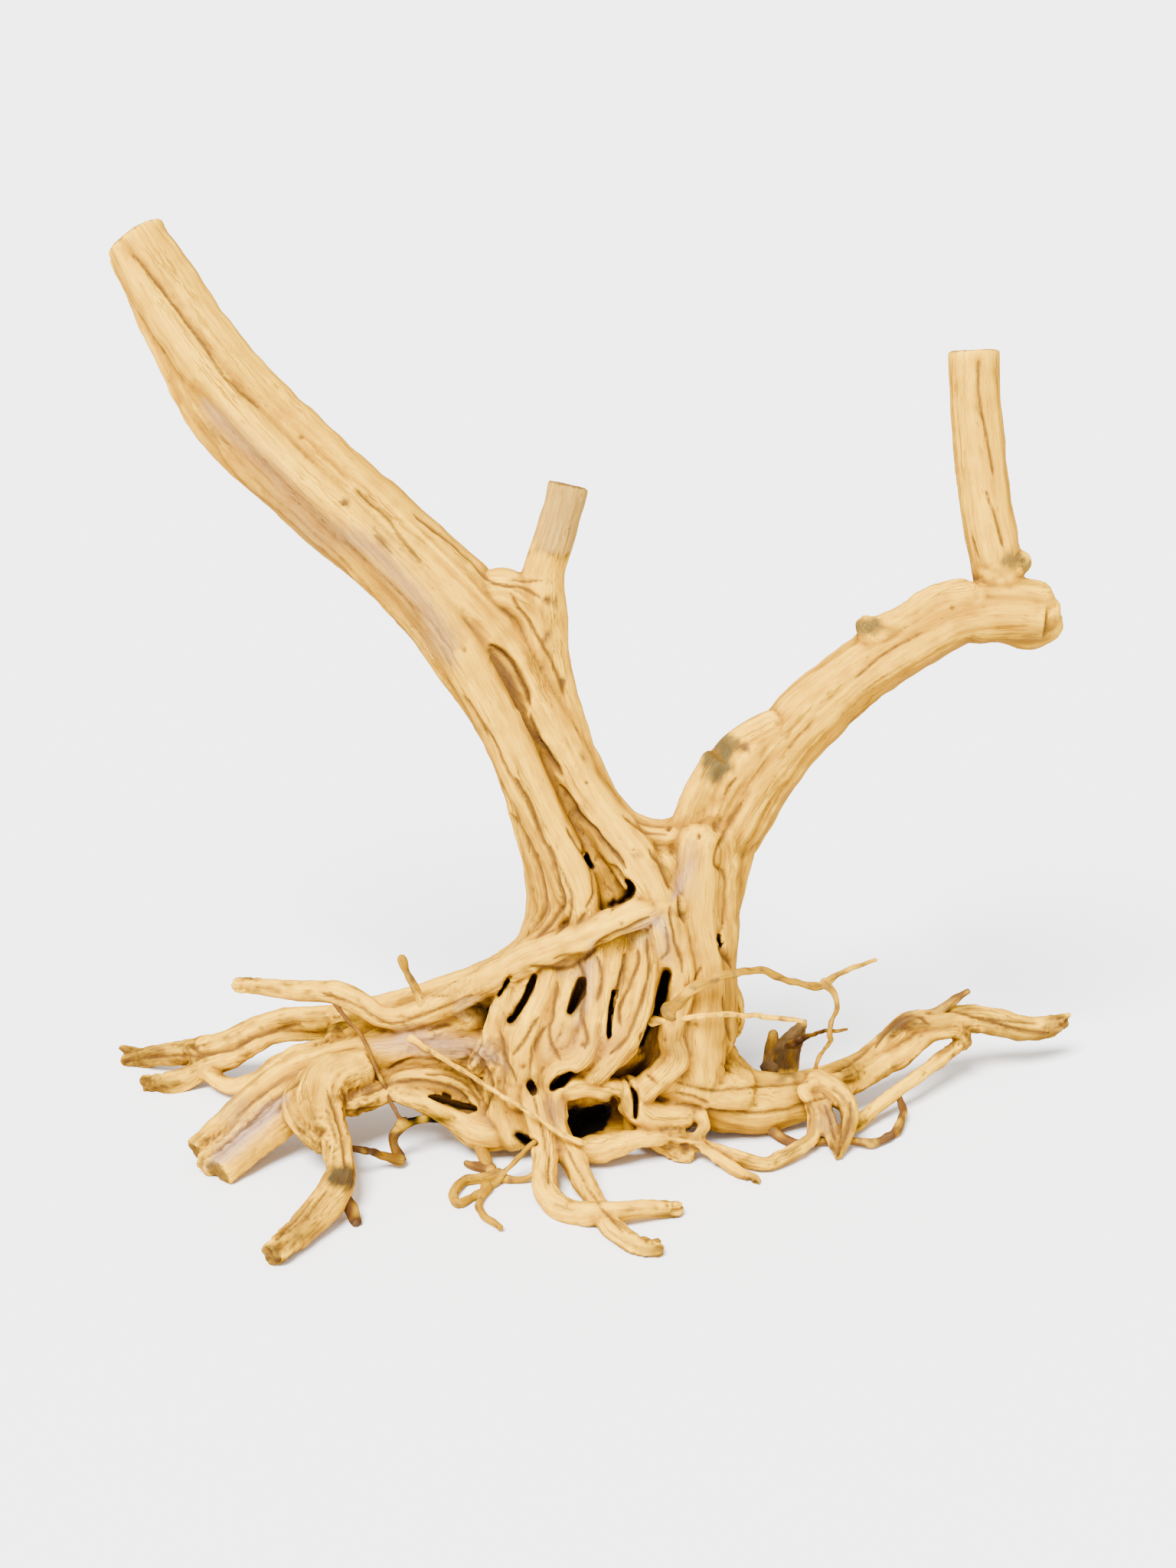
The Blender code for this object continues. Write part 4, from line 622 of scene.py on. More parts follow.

# Small holes and knots of the front: (across, up, half across, half up, depth, darkness); the darkness is
# painted shade in a hole and the own dark of a knot.
PORES = (
    (166.3, 53.5, 3.4, 1.8, 2.4, 0.9), (160, 50, 1.6, 1.2, 1.4, 0.7), (-186, -5, 2.4, 1, 0.8, 0.6),
    (-192, -9, 2, 1, 0.8, 0.6), (-196, -3, 1.4, 1, 0.8, 0.5), (-63, 38, 4, 1.4, 1.2, 0.6),
    (-55, 45, 1.4, 1.2, 1, 0.5), (-34, 34, 1.8, 1.4, 1.2, 0.6), (-29, 24, 2.6, 2.2, 1.6, 0.8),
    (-96, 60, 1.6, 1, 0.8, 0.5), (88, 14, 1.6, 1.2, 0.9, 0.6), (70, 26, 1.4, 1.2, 0.9, 0.6),
    (32.8, 107.8, 1.2, 1.2, 1.2, 0.8), (31, 106, 0.9, 0.9, 1, 0.6), (12, 136, 1, 1, 1, 0.6),
    (4.2, 142.6, 0.9, 0.9, 1, 0.6), (58.2, 154.5, 1.3, 1.7, 1.6, 0.95), (42, 158.5, 1.6, 1.2, 1.6, 0.9),
    (40.2, 48.4, 1, 1, 1, 0.7), (36.8, 39.7, 1, 1.2, 1, 0.7), (56.4, 56.5, 1, 1, 1, 0.6),
    (-2.4, 45.5, 1.2, 1.2, 1.4, 0.95), (-0.8, 182.7, 1, 1, 1, 0.6), (-18, 139, 1.6, 2.2, 1.2, 0.5),
    (-26.6, 144.7, 1, 1.4, 1, 0.55), (-150, 363, 1.6, 1.2, 1.2, 0.6), (190, 274, 1.4, 1.2, 1, 0.55),
    (-80, 51, 1, 1, 1, 0.8), (-21.9, 278.7, 2, 1.6, 0.8, 0.45), (14, 16.4, 2.6, 2.6, 2, 0.9),
    (-128, 328, 1.4, 1, 0.8, 0.5), (82, 201, 1.6, 1.4, 0.6, 0.4), (24, 147.6, 1.2, 1, 0.8, 0.4),
    (17.2, 109.5, 1.2, 1, 0.6, 0.4), (51, 76.7, 1.4, 1.4, 0.6, 0.4), (-129, -24, 3, 2.4, 0.6, 0.5),
)

# Tints laid along a line of the front, some of them painted shade or highlight: (tint, half width, strength,
# its points).
BANDS = {
    "stub_bark": ("stub", 9, 0.85, ((-9.5, 342), (-12, 330), (-16, 316), (-19, 306))),
    "stub_rim": ("bark", 2.2, 0.8, ((-23, 343), (-12, 345), (1, 341))),
    "stub_collar_line": ("brown", 1.6, 0.8, ((-32, 301), (-24, 305), (-15, 301), (-5, 303))),
    "stub_streak_left": ("bark", 1.5, 0.6, ((-13, 344), (-17, 326), (-22, 306))),
    "stub_streak_right": ("brown_tan", 1.8, 0.6, ((2, 344), (-3, 324), (-9, 304))),
    "stub_streak_middle": ("bark", 1.3, 0.5, ((-6, 344), (-10, 326), (-15, 306))),
    "groove_dust": ("mauve", 8, 0.8, (
        (-200, 380), (-170, 350), (-140, 315), (-115, 307), (-102, 293), (-88.5, 277), (-78, 261),
        (-70, 245))),
    # Painted shade: warm ochre along the groove floor.
    "groove_painted_shade": ("ochre", 5, 0.6, ((-204, 372), (-160, 334), (-115, 293), (-98, 279), (-84, 262))),
    # Painted highlight: cream along the limb's upper ridge.
    "painted_ridge_highlight": ("cream", 6, 0.6, ((-225, 430), (-190, 383), (-150, 345), (-110, 318), (-60, 270))),
    "slit_face": ("rose_brown", 3.2, 0.7, ((-49, 248), (-44, 241), (-40, 232), (-35, 220))),
    "slit_tail_face": ("brown_tan", 2.2, 0.8, ((-34, 216), (-29, 205), (-23, 195), (-17, 188))),
    "spur_edge": ("ochre", 3, 0.6, ((62, 184), (55, 168), (47, 160))),
    # Painted highlight: cream along the top of the right root.
    "right_root_painted_highlight": ("cream", 8, 0.45, ((45, 24), (70, 19), (95, 18), (115, 22))),
    "wedge_trough": ("lilac", 5, 0.85, ((-158, 18), (-170, 7), (-184, -6), (-199, -18))),
    "wedge_marks": ("grey_dark", 1.6, 0.7, ((-186, -3), (-191, -8), (-196, -12))),
    "leg_shadow": ("ochre", 6, 0.6, ((-140, 24), (-146, 12), (-142, 2))),
    "swirl_dark": ("brown", 5, 0.9, ((158, 50), (163, 56), (170, 57))),
    "swirl_pink": ("rose_brown", 7, 0.6, ((152, 52), (158, 61), (168, 63))),
    "tip_shadow": ("brown", 3.5, 0.85, ((205, 52), (216, 49), (232, 48), (245, 52))),
    "root_end_left": ("brown", 7, 0.85, ((-222, 41), (-232, 39), (-242, 38))),
    "root_end_low": ("brown", 6, 0.85, ((-214, 26), (-224, 24), (-232, 26))),
    "crown_lilac_a": ("lilac", 4, 0.5, ((2, 100), (1, 86), (-1, 70), (-6, 56))),
    "crown_lilac_b": ("lilac", 3.5, 0.55, ((24, 106), (30, 108), (38, 110), (42, 100))),
    "crown_lilac_c": ("lilac", 4, 0.5, ((44, 122), (50, 132), (55, 142))),
    "mass_lilac": ("lilac", 6, 0.5, ((-110, 45), (-90, 48), (-66, 44), (-46, 38))),
    # Painted shade: brown tan under the elbow.
    "elbow_painted_shade": ("brown_tan", 5, 0.5, ((226, 257), (236, 260), (244, 268))),
    "scar_long": ("rose_brown", 2.6, 0.9, ((-112.5, 315), (-108, 309), (-103, 303))),
    "scar_short": ("rose_brown", 2.4, 0.9, ((-4.5, 200), (-3, 196), (-1.2, 192))),
    "upright_blotches": ("rose_brown", 2.4, 0.5, ((203, 380), (205, 376), (206, 372))),
    "crown_pink": ("pink_dust", 9, 0.45, ((-22, 40), (-10, 50), (6, 44), (18, 52))),
    "recess_white": ("pale_dust", 5, 0.5, ((20, 104), (27, 101), (34, 108))),
    "right_root_dark": ("grey_dark", 4, 0.7, ((152, 50), (162, 57), (173, 60))),
    "thread_black": ("black", 4, 0.85, ((-97, 4), (-84, 7), (-70, 7))),
}

# Tinted patches of the front: (tint, across, up, half across, half up, strength).
PATCHES = (
    ("stub", -9, 336, 15, 9, 0.9), ("stub", -12, 322, 14, 10, 0.9), ("stub", -16, 310, 13, 7, 0.85),
    ("rose_brown", 160, 60, 7, 5, 0.5), ("brown", 14, 13, 7, 9, 0.6), ("brown_tan", -29, 25, 6, 6, 0.6),
    ("mauve", 53, 143.6, 6, 9, 0.5), ("mauve", 55, 127.4, 5, 8, 0.4), ("mauve", 41, 96, 5, 8, 0.5),
    ("mauve", -9, 85, 8, 5, 0.5), ("mauve", 43.7, 64, 5, 7, 0.4), ("pale_dust", -60, 65, 10, 6, 0.5),
    ("mauve", -18, 10, 6, 9, 0.5), ("mauve", -70, 44, 26, 5, 0.45), ("rose_brown", -21.9, 259, 2.0, 3.4, 0.9),
    ("rose_brown", -13.2, 236, 1.8, 2.6, 0.9), ("rose_brown", -127, 329, 2.6, 2.4, 0.9),
    ("rose_brown", -63.6, 37.4, 4.5, 2.4, 0.7), ("rose_brown", 82, 201, 3, 2.4, 0.9),
    ("brown", 38, 45, 6, 11, 0.55), ("brown_tan", 49, 46, 6, 9, 0.5), ("bark", 146, 264, 7, 4.5, 0.9),
    ("bark", 222, 299, 6, 4, 0.85), ("bark", 231, 295, 5, 4, 0.8), ("grey_dark", -129, -24, 8, 6.5, 0.95),
    ("brown_tan", 131, 4, 10, 12, 0.55), ("mauve", 125, 8, 5, 8, 0.5),
    ("umber", 105, 46, 13, 17, 0.96), ("brown_dark", 103, 38, 6, 8, 0.6), ("grey_dark", -70, 24, 6, 5, 0.3),
    ("mauve", -100, 46, 16, 6, 0.4), ("cream", 60, 120, 10, 20, 0.3), ("ochre", 70, 60, 7, 16, 0.4),
    ("bark", 67, 195, 8, 11, 0.97), ("bark", 73, 203, 6, 5, 0.9), ("brown_tan", -215, 41, 12, 6, 0.4),
    ("rose_brown", 245, 56, 8, 5, 0.6), ("brown_tan", 180, 58, 12, 6, 0.4),
    ("rose_brown", -20.3, 278, 3.6, 2.4, 0.75), ("rose_brown", 26, 144.6, 2.0, 2.6, 0.7),
    ("mauve", -186, 12, 10, 8, 0.4), ("brown_tan", -151, -50, 9, 9, 0.45),
)

# The share of red, green and blue light that each tint gives back.
TINTS = {
    "gold": (0.45, 0.206, 0.0006),
    "cream": (0.86, 0.46, 0.004),
    "root_gold": (0.33, 0.165, 0.0012),
    "ochre": (0.27, 0.120, 0.0010),
    "mauve": (0.27, 0.145, 0.062),
    "lilac": (0.39, 0.255, 0.185),
    "pale_dust": (0.60, 0.38, 0.130),
    "pink_dust": (0.36, 0.165, 0.040),
    "rose_brown": (0.090, 0.040, 0.017),
    "umber": (0.095, 0.056, 0.024),
    "brown_tan": (0.110, 0.046, 0.011),
    "brown": (0.048, 0.019, 0.0065),
    "brown_dark": (0.016, 0.008, 0.0035),
    "grey_dark": (0.036, 0.027, 0.016),
    "stub": (0.37, 0.212, 0.040),
    "bark": (0.082, 0.058, 0.021),
    "sawn": (0.15, 0.078, 0.010),
    "black": (0.0020, 0.0014, 0.0010),
}

# How strong the painted shade inside a pocket is, where it isn't full black, and the tint of its walls.
POCKET_DARKNESS = {"oval_window": 0.35, "left_slot": 0.45, "low_window": 0.55, "middle_slit": 0.6,
                   "eye_hole": 0.7, "right_nick": 0.65, "brown_pocket": 0.5, "broken_tube": 0.7,
                   "left_slit": 0.6, "arch_slot": 0.75, "tall_slot": 0.9}
POCKET_TINTS = {"oval_window": "grey_dark", "left_slot": "brown_tan"}

# Streaks along the roots: (tint, length, width, seed, the noise they start and end at, strength).
ROOT_STREAKS = (
    ("brown_tan", 16, 2.6, 51, 0.1, 0.6, 0.7), ("brown", 6, 1.7, 52, 0.45, 0.8, 0.7),
    ("cream", 22, 3.2, 53, 0.3, 0.8, 0.5),
)

# Mottling of the thin roots: (tint, size, seed, the noise it starts and ends at, strength).
ROOTLET_MOTTLES = (
    ("cream", 7, 31, 0.0, 0.8, 0.5), ("ochre", 9, 33, 0.0, 0.8, 0.5), ("umber", 2.8, 32, 0.15, 0.65, 0.7),
)

# Painted shade where the wood is closed in: (tint, the shelter it starts and ends at, strength).
SHELTER_SHADE_TINTS = (
    ("ochre", 0.12, 0.4, 0.6), ("brown_tan", 0.3, 0.6, 0.7), ("brown", 0.5, 0.8, 0.75),
)

# The tints of the thin roots that aren't gold.
ROOTLET_TINTS = {"hanging_thread": "brown_tan", "thread_bridge": "black", "thread_foot": "brown",
                 "knee_knob": "brown", "tangle_spur": "brown_tan", "stump_prong": "umber",
                 "stump_twig": "brown", "far_loop": "brown_tan", "right_spur": "brown_tan",
                 "straight_whip": "cream", "long_diagonal": "cream"}

# What the grain lays over the tint: the dark and light of its streaks, which multiply it, then the colours
# of pores, sawn faces, and the painted shade of cracks, pockets and hollows where it is weak and where it is
# strong.
STREAK_DARK = (0.72, 0.60, 0.42, 1)
STREAK_LIGHT = (1.06, 1.10, 1.15, 1)
PORE_BROWN = (0.06, 0.025, 0.005, 1)
SAWN_BROWN = (0.07, 0.035, 0.008, 1)
CRACK_SHADE_BROWN = (0.080, 0.036, 0.010, 1)
CRACK_SHADE_BLACK = (0.004, 0.0025, 0.0015, 1)

FLOOR_COLOUR = (0.95, 0.95, 0.95)

# The high, soft key light: the direction it comes from, its strength and the angle it spreads over.
KEY_FROM = (-0.30, -0.70, 1.0)
KEY_STRENGTH = 14.4
KEY_SPREAD = radians(25.0)


def sighted(points):
    """World points and half thicknesses where the lines of sight meet the given depths."""
    across, up, depth, half = np.array(points, float).T
    plane = np.stack([across, up * sin(PICTURE_LEAN), up * cos(PICTURE_LEAN)], axis=1)
    nearness = (depth - EYE[1]) / (plane[:, 1] - EYE[1])
    return EYE + nearness[:, None] * (plane - EYE), half * nearness


def on_picture(points):
    """Where world points show on the picture plane, as across and up."""
    nearness = EYE_DISTANCE / ((points - EYE) @ SIGHT)
    plane = EYE + (points - EYE) * nearness[:, None]
    return np.stack([plane[:, 0], plane @ PLANE_UP], axis=1)


def smooth_curve(rows, spacing):
    """Rows read evenly along the Catmull-Rom curve through the given rows. Their first 3 columns are a
    place."""
    padded = np.vstack([2 * rows[0] - rows[1], rows, 2 * rows[-1] - rows[-2]])
    t = np.linspace(0, 1, 9)[:-1, None]
    pieces = []
    for a, b, c, d in zip(padded, padded[1:], padded[2:], padded[3:]):
        pieces.append(0.5 * (2 * b + (c - a) * t + (2 * a - 5 * b + 4 * c - d) * t**2
                             + (3 * b - a - 3 * c + d) * t**3))
    fine = np.vstack(pieces + [rows[-1:]])
    along = np.concatenate([[0], np.cumsum(np.linalg.norm(np.diff(fine[:, :3], axis=0), axis=1))])
    count = max(3, int(round(along[-1] / spacing)) + 1)
    wanted = np.linspace(0, along[-1], count)
    return np.stack([np.interp(wanted, along, column) for column in fine.T], axis=1)


def carried_frame(centre):
    """Unit tangent, side and lift at each point of a line; the side is carried along without twist."""
    tangent = np.gradient(centre, axis=0)
    tangent /= np.linalg.norm(tangent, axis=1)[:, None]
    side = np.empty_like(tangent)
    held = np.eye(3)[np.abs(tangent.mean(axis=0)).argmin()]
    for n, direction in enumerate(tangent):
        held = held - direction * (held @ direction)
        held /= np.linalg.norm(held)
        side[n] = held
    return tangent, side, np.cross(tangent, side)


def bar(name, points, half, sides, spacing, flat, wobble=0.0):
    """A closed bar along a smooth curve: at angle A and distance L its radius is the half thickness there
    times 1 plus wobble times a smooth noise of A and L. Its ends are flat or rounded."""
    rows = smooth_curve(np.column_stack([points, half]), spacing)
    centre, radius = rows[:, :3], rows[:, 3]
    tangent, side, lift = carried_frame(centre)
    if not flat:
        centre, radius, side, lift = rounded_ends(centre, radius, tangent, side, lift)
    angle = np.arange(sides) * 2 * pi / sides
    ring = side[:, None] * np.cos(angle)[None, :, None] + lift[:, None] * np.sin(angle)[None, :, None]
    if wobble:
        bumps = smooth_noise((centre[:, None] / 7.0 + ring * 1.3).reshape(-1, 3)).reshape(len(centre), sides)
        swell = 1 + wobble * bumps[..., None]
    else:
        swell = 1
    skin = centre[:, None] + ring * radius[:, None, None] * swell
    vertices = np.vstack([skin.reshape(-1, 3), centre[:1], centre[-1:]])
    return mesh_object(name, vertices, *tube_faces(len(centre), sides))


def rounded_ends(centre, radius, tangent, side, lift):
    """The bar's rings with two smaller rings past each end, which round it off."""
    past = np.array([0.45, 0.85])
    shrink = np.sqrt(1 - past**2)
    start = centre[0] - tangent[0] * radius[0] * past[::-1, None]
    end = centre[-1] + tangent[-1] * radius[-1] * past[:, None]
    held = [0, 0, *range(len(centre)), -1, -1]
    return (np.vstack([start, centre, end]),
            np.concatenate([radius[0] * shrink[::-1], radius, radius[-1] * shrink]),
            side[held], lift[held])


def tube_faces(rings, sides):
    """The walls and end caps of a closed tube, whose last two vertices are the end centres."""
    i, j = np.meshgrid(np.arange(rings - 1), np.arange(sides), indexing="ij")
    nxt = (j + 1) % sides
    walls = np.stack([i * sides + j, i * sides + nxt, (i + 1) * sides + nxt, (i + 1) * sides + j], axis=-1)
    turn = np.arange(sides)
    after = (turn + 1) % sides
    first, last = rings * sides, rings * sides + 1
    start = np.stack([np.full(sides, first), after, turn], axis=1)
    end = np.stack([np.full(sides, last), turn, after], axis=1)
    end[:, 1:] += (rings - 1) * sides
    return walls.reshape(-1, 4), np.vstack([start, end])


def mesh_object(name, vertices, quads, triangles):
    """An object from whole arrays of vertices in millimetres, four-sided faces and three-sided faces."""
    mesh = bpy.data.meshes.new(name)
    mesh.from_pydata(vertices * MILLIMETRE, [], quads.tolist() + triangles.tolist())
    made = bpy.data.objects.new(name, mesh)
    bpy.context.scene.collection.objects.link(made)
    return made


def joined(name, parts):
    """One object that holds all the parts' meshes, still overlapping."""
    shape = bmesh.new()
    for part in parts:
        shape.from_mesh(part.data)
    mesh = bpy.data.meshes.new(name)
    shape.to_mesh(mesh)
    shape.free()
    for part in parts:
        bpy.data.objects.remove(part)
    made = bpy.data.objects.new(name, mesh)
    bpy.context.scene.collection.objects.link(made)
    return made


def applied(made):
    """Replaces the object's mesh by what its modifiers make of it."""
    graph = bpy.context.evaluated_depsgraph_get()
    mesh = bpy.data.meshes.new_from_object(made.evaluated_get(graph))
    made.modifiers.clear()
    made.data = mesh
    return made


def fused(made, voxel):
    """The overlapping bars as one skin of even small faces."""
    remesh = made.modifiers.new("Fuse", "REMESH")
    remesh.mode = "VOXEL"
    remesh.voxel_size = voxel * MILLIMETRE
    return applied(made)


def cut(made, cutter):
    """The object without the cutter's volume."""
    difference = made.modifiers.new("Cut", "BOOLEAN")
    difference.operation = "DIFFERENCE"
    difference.solver = "MANIFOLD"
    difference.object = cutter
    applied(made)
    bpy.data.objects.remove(cutter)
    return made


def thinned(made, triangles):
    """The skin with about the given number of triangles, the fewest where it is flattest."""
    shape = bmesh.new()
    shape.from_mesh(made.data)
    bmesh.ops.triangulate(shape, faces=shape.faces)
    shape.to_mesh(made.data)
    shape.free()
    decimate = made.modifiers.new("Thin", "DECIMATE")
    decimate.ratio = triangles / len(made.data.polygons)
    return applied(made)


def largest_body(made):
    """The largest island of the object's mesh, with loose scraps and sealed cavities dropped."""
    for other in bpy.context.selected_objects:
        other.select_set(False)
    made.select_set(True)
    bpy.context.view_layer.objects.active = made
    bpy.ops.mesh.separate(type="LOOSE")
    islands = sorted(bpy.context.selected_objects, key=lambda island: len(island.data.vertices))
    kept = islands.pop()
    for scrap in islands:
        bpy.data.objects.remove(scrap)
    return kept


def pocket_cutter(name, outline, depths):
    """A slot's cutter: a chain of bars, each along the sight through one point of the slot."""
    rows = np.array([(across, up, 0.0, half) for across, up, half in outline], float)
    parts = []
    for n, (across, up, _, half) in enumerate(smooth_curve(rows, CUTTER_STEP)):
        run = [(across, up, depths[0] + (depths[1] - depths[0]) * share, max(half * (1.5 - share), 1.3))
               for share in (0.0, 0.5, 1.0)]
        points, thickness = sighted(run)
        parts.append(bar(f"{name}_{n}", points, thickness, CUTTER_SIDES, CUTTER_LENGTH_STEP, False))
    return parts


def smooth_noise(places, seed=0):
    """Noise from -1 to 1: random values on a unit lattice, blended smoothly between its corners."""
    cell = np.floor(places).astype(np.int64)
    blend = places - cell
    blend = blend * blend * (3 - 2 * blend)
    total = np.zeros(len(places))
    for corner in np.ndindex(2, 2, 2):
        x, y, z = (cell + corner).T
        mixed = (x * 374761393 + y * 668265263 + z * 1440662683 + seed * 1274126177) & 0xFFFFFFFF
        mixed = ((mixed ^ (mixed >> 13)) * 1274126177) & 0xFFFFFFFF
        value = ((mixed ^ (mixed >> 16)) & 0xFFFF) / 32767.5 - 1
        total += value * np.prod(np.where(corner, blend, 1 - blend), axis=1)
    return total


def ridged_noise(places, seed=0):
    """Noise from -1 to 1 with sharp crests: 1 minus twice the size of the smooth noise."""
    return 1 - 2 * np.abs(smooth_noise(places, seed))


def smooth_step(low, high, value):
    """0 below low, 1 above high and an even S between them."""
    t = np.clip((value - low) / (high - low), 0, 1)
    return t * t * (3 - 2 * t)


def points_of(mesh, kind="vertices"):
    """The mesh's vertex places or normals as rows, the places in millimetres."""
    rows = np.empty(len(mesh.vertices) * 3, np.float32)
    if kind == "normals":
        mesh.vertex_normals.foreach_get("vector", rows)
        return rows.reshape(-1, 3).astype(float)
    mesh.vertices.foreach_get("co", rows)
    return rows.reshape(-1, 3).astype(float) / MILLIMETRE


def put_points(mesh, points):
    """Moves the mesh's vertices to the given places in millimetres."""
    mesh.vertices.foreach_set("co", (points * MILLIMETRE).astype(np.float32).ravel())
    mesh.update()


class Neighbours:
    """Which vertices of a mesh share an edge, for averaging values over the skin."""

    def __init__(self, mesh):
        edges = np.empty(len(mesh.edges) * 2, np.int32)
        mesh.edges.foreach_get("vertices", edges)
        self.a, self.b = edges.reshape(-1, 2).T
        self.count = len(mesh.vertices)
        self.share = np.bincount(np.concatenate([self.a, self.b]), minlength=self.count)

    def mean(self, values):
        """Each vertex's mean of its neighbours' values, for one column or several."""
        if values.ndim == 2:
            return np.stack([self.mean(column) for column in values.T], axis=1)
        total = np.bincount(self.a, values[self.b], self.count)
        total += np.bincount(self.b, values[self.a], self.count)
        return total / self.share

    def blurred(self, values, rounds):
        """The values after so many rounds of averaging with their neighbours."""
        for _ in range(rounds):
            values = 0.4 * values + 0.6 * self.mean(values)
        return values

    def eased(self, points, rounds):
        """The places after Taubin's two alternating steps, which round creases and keep thickness."""
        for step in (0.5, -0.52) * rounds:
            points = points + step * (self.mean(points) - points)
        return points


class Strand:
    """One strand's centreline, thickness and carried frame, sampled evenly."""

    SPACING = 1.5

    def __init__(self, name, points):
        places, half = sighted(points)
        rows = smooth_curve(np.column_stack([places, half]), self.SPACING)
        self.name = name
        self.centre, self.radius = rows[:, :3], rows[:, 3]
        self.tangent, self.side, self.lift = carried_frame(self.centre)
        self.spacing = np.linalg.norm(self.centre[1] - self.centre[0])

    def near(self, points):
        """Which points lie in the box round the strand."""
        reach = self.radius.max() + 9
        low, high = self.centre.min(axis=0) - reach, self.centre.max(axis=0) + reach
        return np.flatnonzero(((points > low) & (points < high)).all(axis=1))

    def coordinates(self, points):
        """Each point's place along, beside and over the strand, its height over the strand's skin, and the
        strand's half thickness there."""
        apart = (points**2).sum(axis=1)[:, None] - 2 * points @ self.centre.T + (self.centre**2).sum(axis=1)
        height = np.sqrt(np.maximum(apart, 0)) - self.radius
        nearest = height.argmin(axis=1)
        offset = points - self.centre[nearest]
        forward = (offset * self.tangent[nearest]).sum(axis=1)
        place = np.stack([nearest * self.spacing + forward,
                          (offset * self.side[nearest]).sum(axis=1),
                          (offset * self.lift[nearest]).sum(axis=1)], axis=1)
        return place, height[np.arange(len(points)), nearest], self.radius[nearest]


# Where points lie on the strands: each one's place in the frame of the nearest strand and of the next
# nearest, the nearest one's half thickness, and by how much that strand is nearer than the next.
Laid = namedtuple("Laid", "place next_place thickness lead")


def laid_to_strands(points, strands):
    """Where the points lie on the nearest strand and the next nearest."""
    count = len(points)
    best = np.full(count, FAR_AWAY)
    second = np.full(count, FAR_AWAY)
    first_place = np.zeros((count, 3))
    second_place = np.zeros((count, 3))
    radius = np.full(count, 8.0)
    for strand in strands:
        near = strand.near(points)
        if not len(near):
            continue
        place, height, thickness = strand.coordinates(points[near])
        wins = height < best[near]
        won, lost = near[wins], near[~wins]
        second_place[won] = first_place[won]
        second[won] = best[won]
        first_place[won] = place[wins]
        radius[won] = thickness[wins]
        best[won] = height[wins]
        closer = height[~wins] < second[lost]
        second_place[lost[closer]] = place[~wins][closer]
        second[lost[closer]] = height[~wins][closer]
    return Laid(first_place, second_place, radius, second - best)


def strand_noise(laid, stretch, width, seed, ridged=False):
    """Noise drawn out along the strands, blended across the seams between them."""
    noise = ridged_noise if ridged else smooth_noise
    scale = np.array([stretch, width, width])
    share = 0.5 + 0.5 * smooth_step(0, 4, laid.lead)
    return share * noise(laid.place / scale, seed) + (1 - share) * noise(laid.next_place / scale, seed)


def seen_from_front(made, points, normals):
    """Which vertices the eye sees: those that face it with nothing in the way."""
    towards = EYE - points
    towards /= np.linalg.norm(towards, axis=1)[:, None]
    facing = (towards * normals).sum(axis=1)
    seen = facing > FACING_LEAST
    tree = BVHTree.FromObject(made, bpy.context.evaluated_depsgraph_get())
    starts = (points + normals * CLEAR_OF_SKIN + towards * CLEAR_TOWARDS_EYE) * MILLIMETRE
    for n in np.flatnonzero(seen).tolist():
        if tree.ray_cast(starts[n], towards[n])[0] is not None:
            seen[n] = False
    return seen, facing


def line_strength(places, line, half_width, taper=LINE_TAPER):
    """How strongly a drawn line marks each place, and a softer halo round it: 1 on the line, fading over
    its half width and at its ends."""
    rows = np.array([(across, up, 0.0) for across, up in line], float)
    samples = smooth_curve(rows, LINE_STEP)[:, :2]
    apart = ((places[:, None] - samples[None]) ** 2).sum(axis=2)
    nearest = apart.argmin(axis=1)
    distance = np.sqrt(apart[np.arange(len(places)), nearest])
    from_end = np.minimum(nearest, len(samples) - 1 - nearest) * LINE_STEP
    width = half_width * (0.35 + 0.65 * smooth_step(0, taper, from_end))
    return np.exp(-((distance / width) ** 2)), np.exp(-((distance / (2.1 * width)) ** 2))


def in_reach(places, line, reach):
    """Which places lie in the box round a line."""
    line = np.array(line, float)
    low, high = line.min(axis=0) - reach, line.max(axis=0) + reach
    return np.flatnonzero(((places > low) & (places < high)).all(axis=1))


def drawn_relief(picture):
    """Depth, darkness and a soft halo of painted shade round the drawn creases, cracks and pores at each
    place.
    """
    depth = np.zeros(len(picture))
    dark = np.zeros(len(picture))
    crease_shade = np.zeros(len(picture))
    wander = np.stack([smooth_noise(np.column_stack([picture / 5, np.full(len(picture), k)]), 40 + k)
                       for k in range(2)], axis=1)
    places = picture + 0.4 * wander
    for half_width, line_depth, darkness, line in LINES.values():
        near = in_reach(places, line, 6 * half_width + 2)
        if len(near):
            strength, halo = line_strength(places[near], line, half_width)
            depth[near] += line_depth * strength
            dark[near] = np.maximum(dark[near], darkness * strength)
            crease_shade[near] = np.maximum(crease_shade[near], darkness * halo)
    for across, up, half_across, half_up, pore_depth, darkness in PORES:
        near = in_reach(places, [(across, up)], 3 * max(half_across, half_up) + 2)
        offset = (places[near] - (across, up)) / (half_across, half_up)
        strength = np.exp(-(offset**2).sum(axis=1))
        depth[near] += pore_depth * strength
        dark[near] = np.maximum(dark[near], darkness * strength)
    return depth, dark, crease_shade


def mixed(colours, tint, share):
    """The colours moved towards a tint by a share at each point."""
    return colours + (np.array(TINTS[tint]) - colours) * np.clip(share, 0, 1)[:, None]


def root_zone(points):
    """1 in the spreading roots, 0 in the crown and the limbs."""
    from_middle = np.hypot(points[:, 0], points[:, 1])
    return smooth_step(*CROWN_REACH, from_middle) * smooth_step(*CROWN_HEIGHT, points[:, 2])


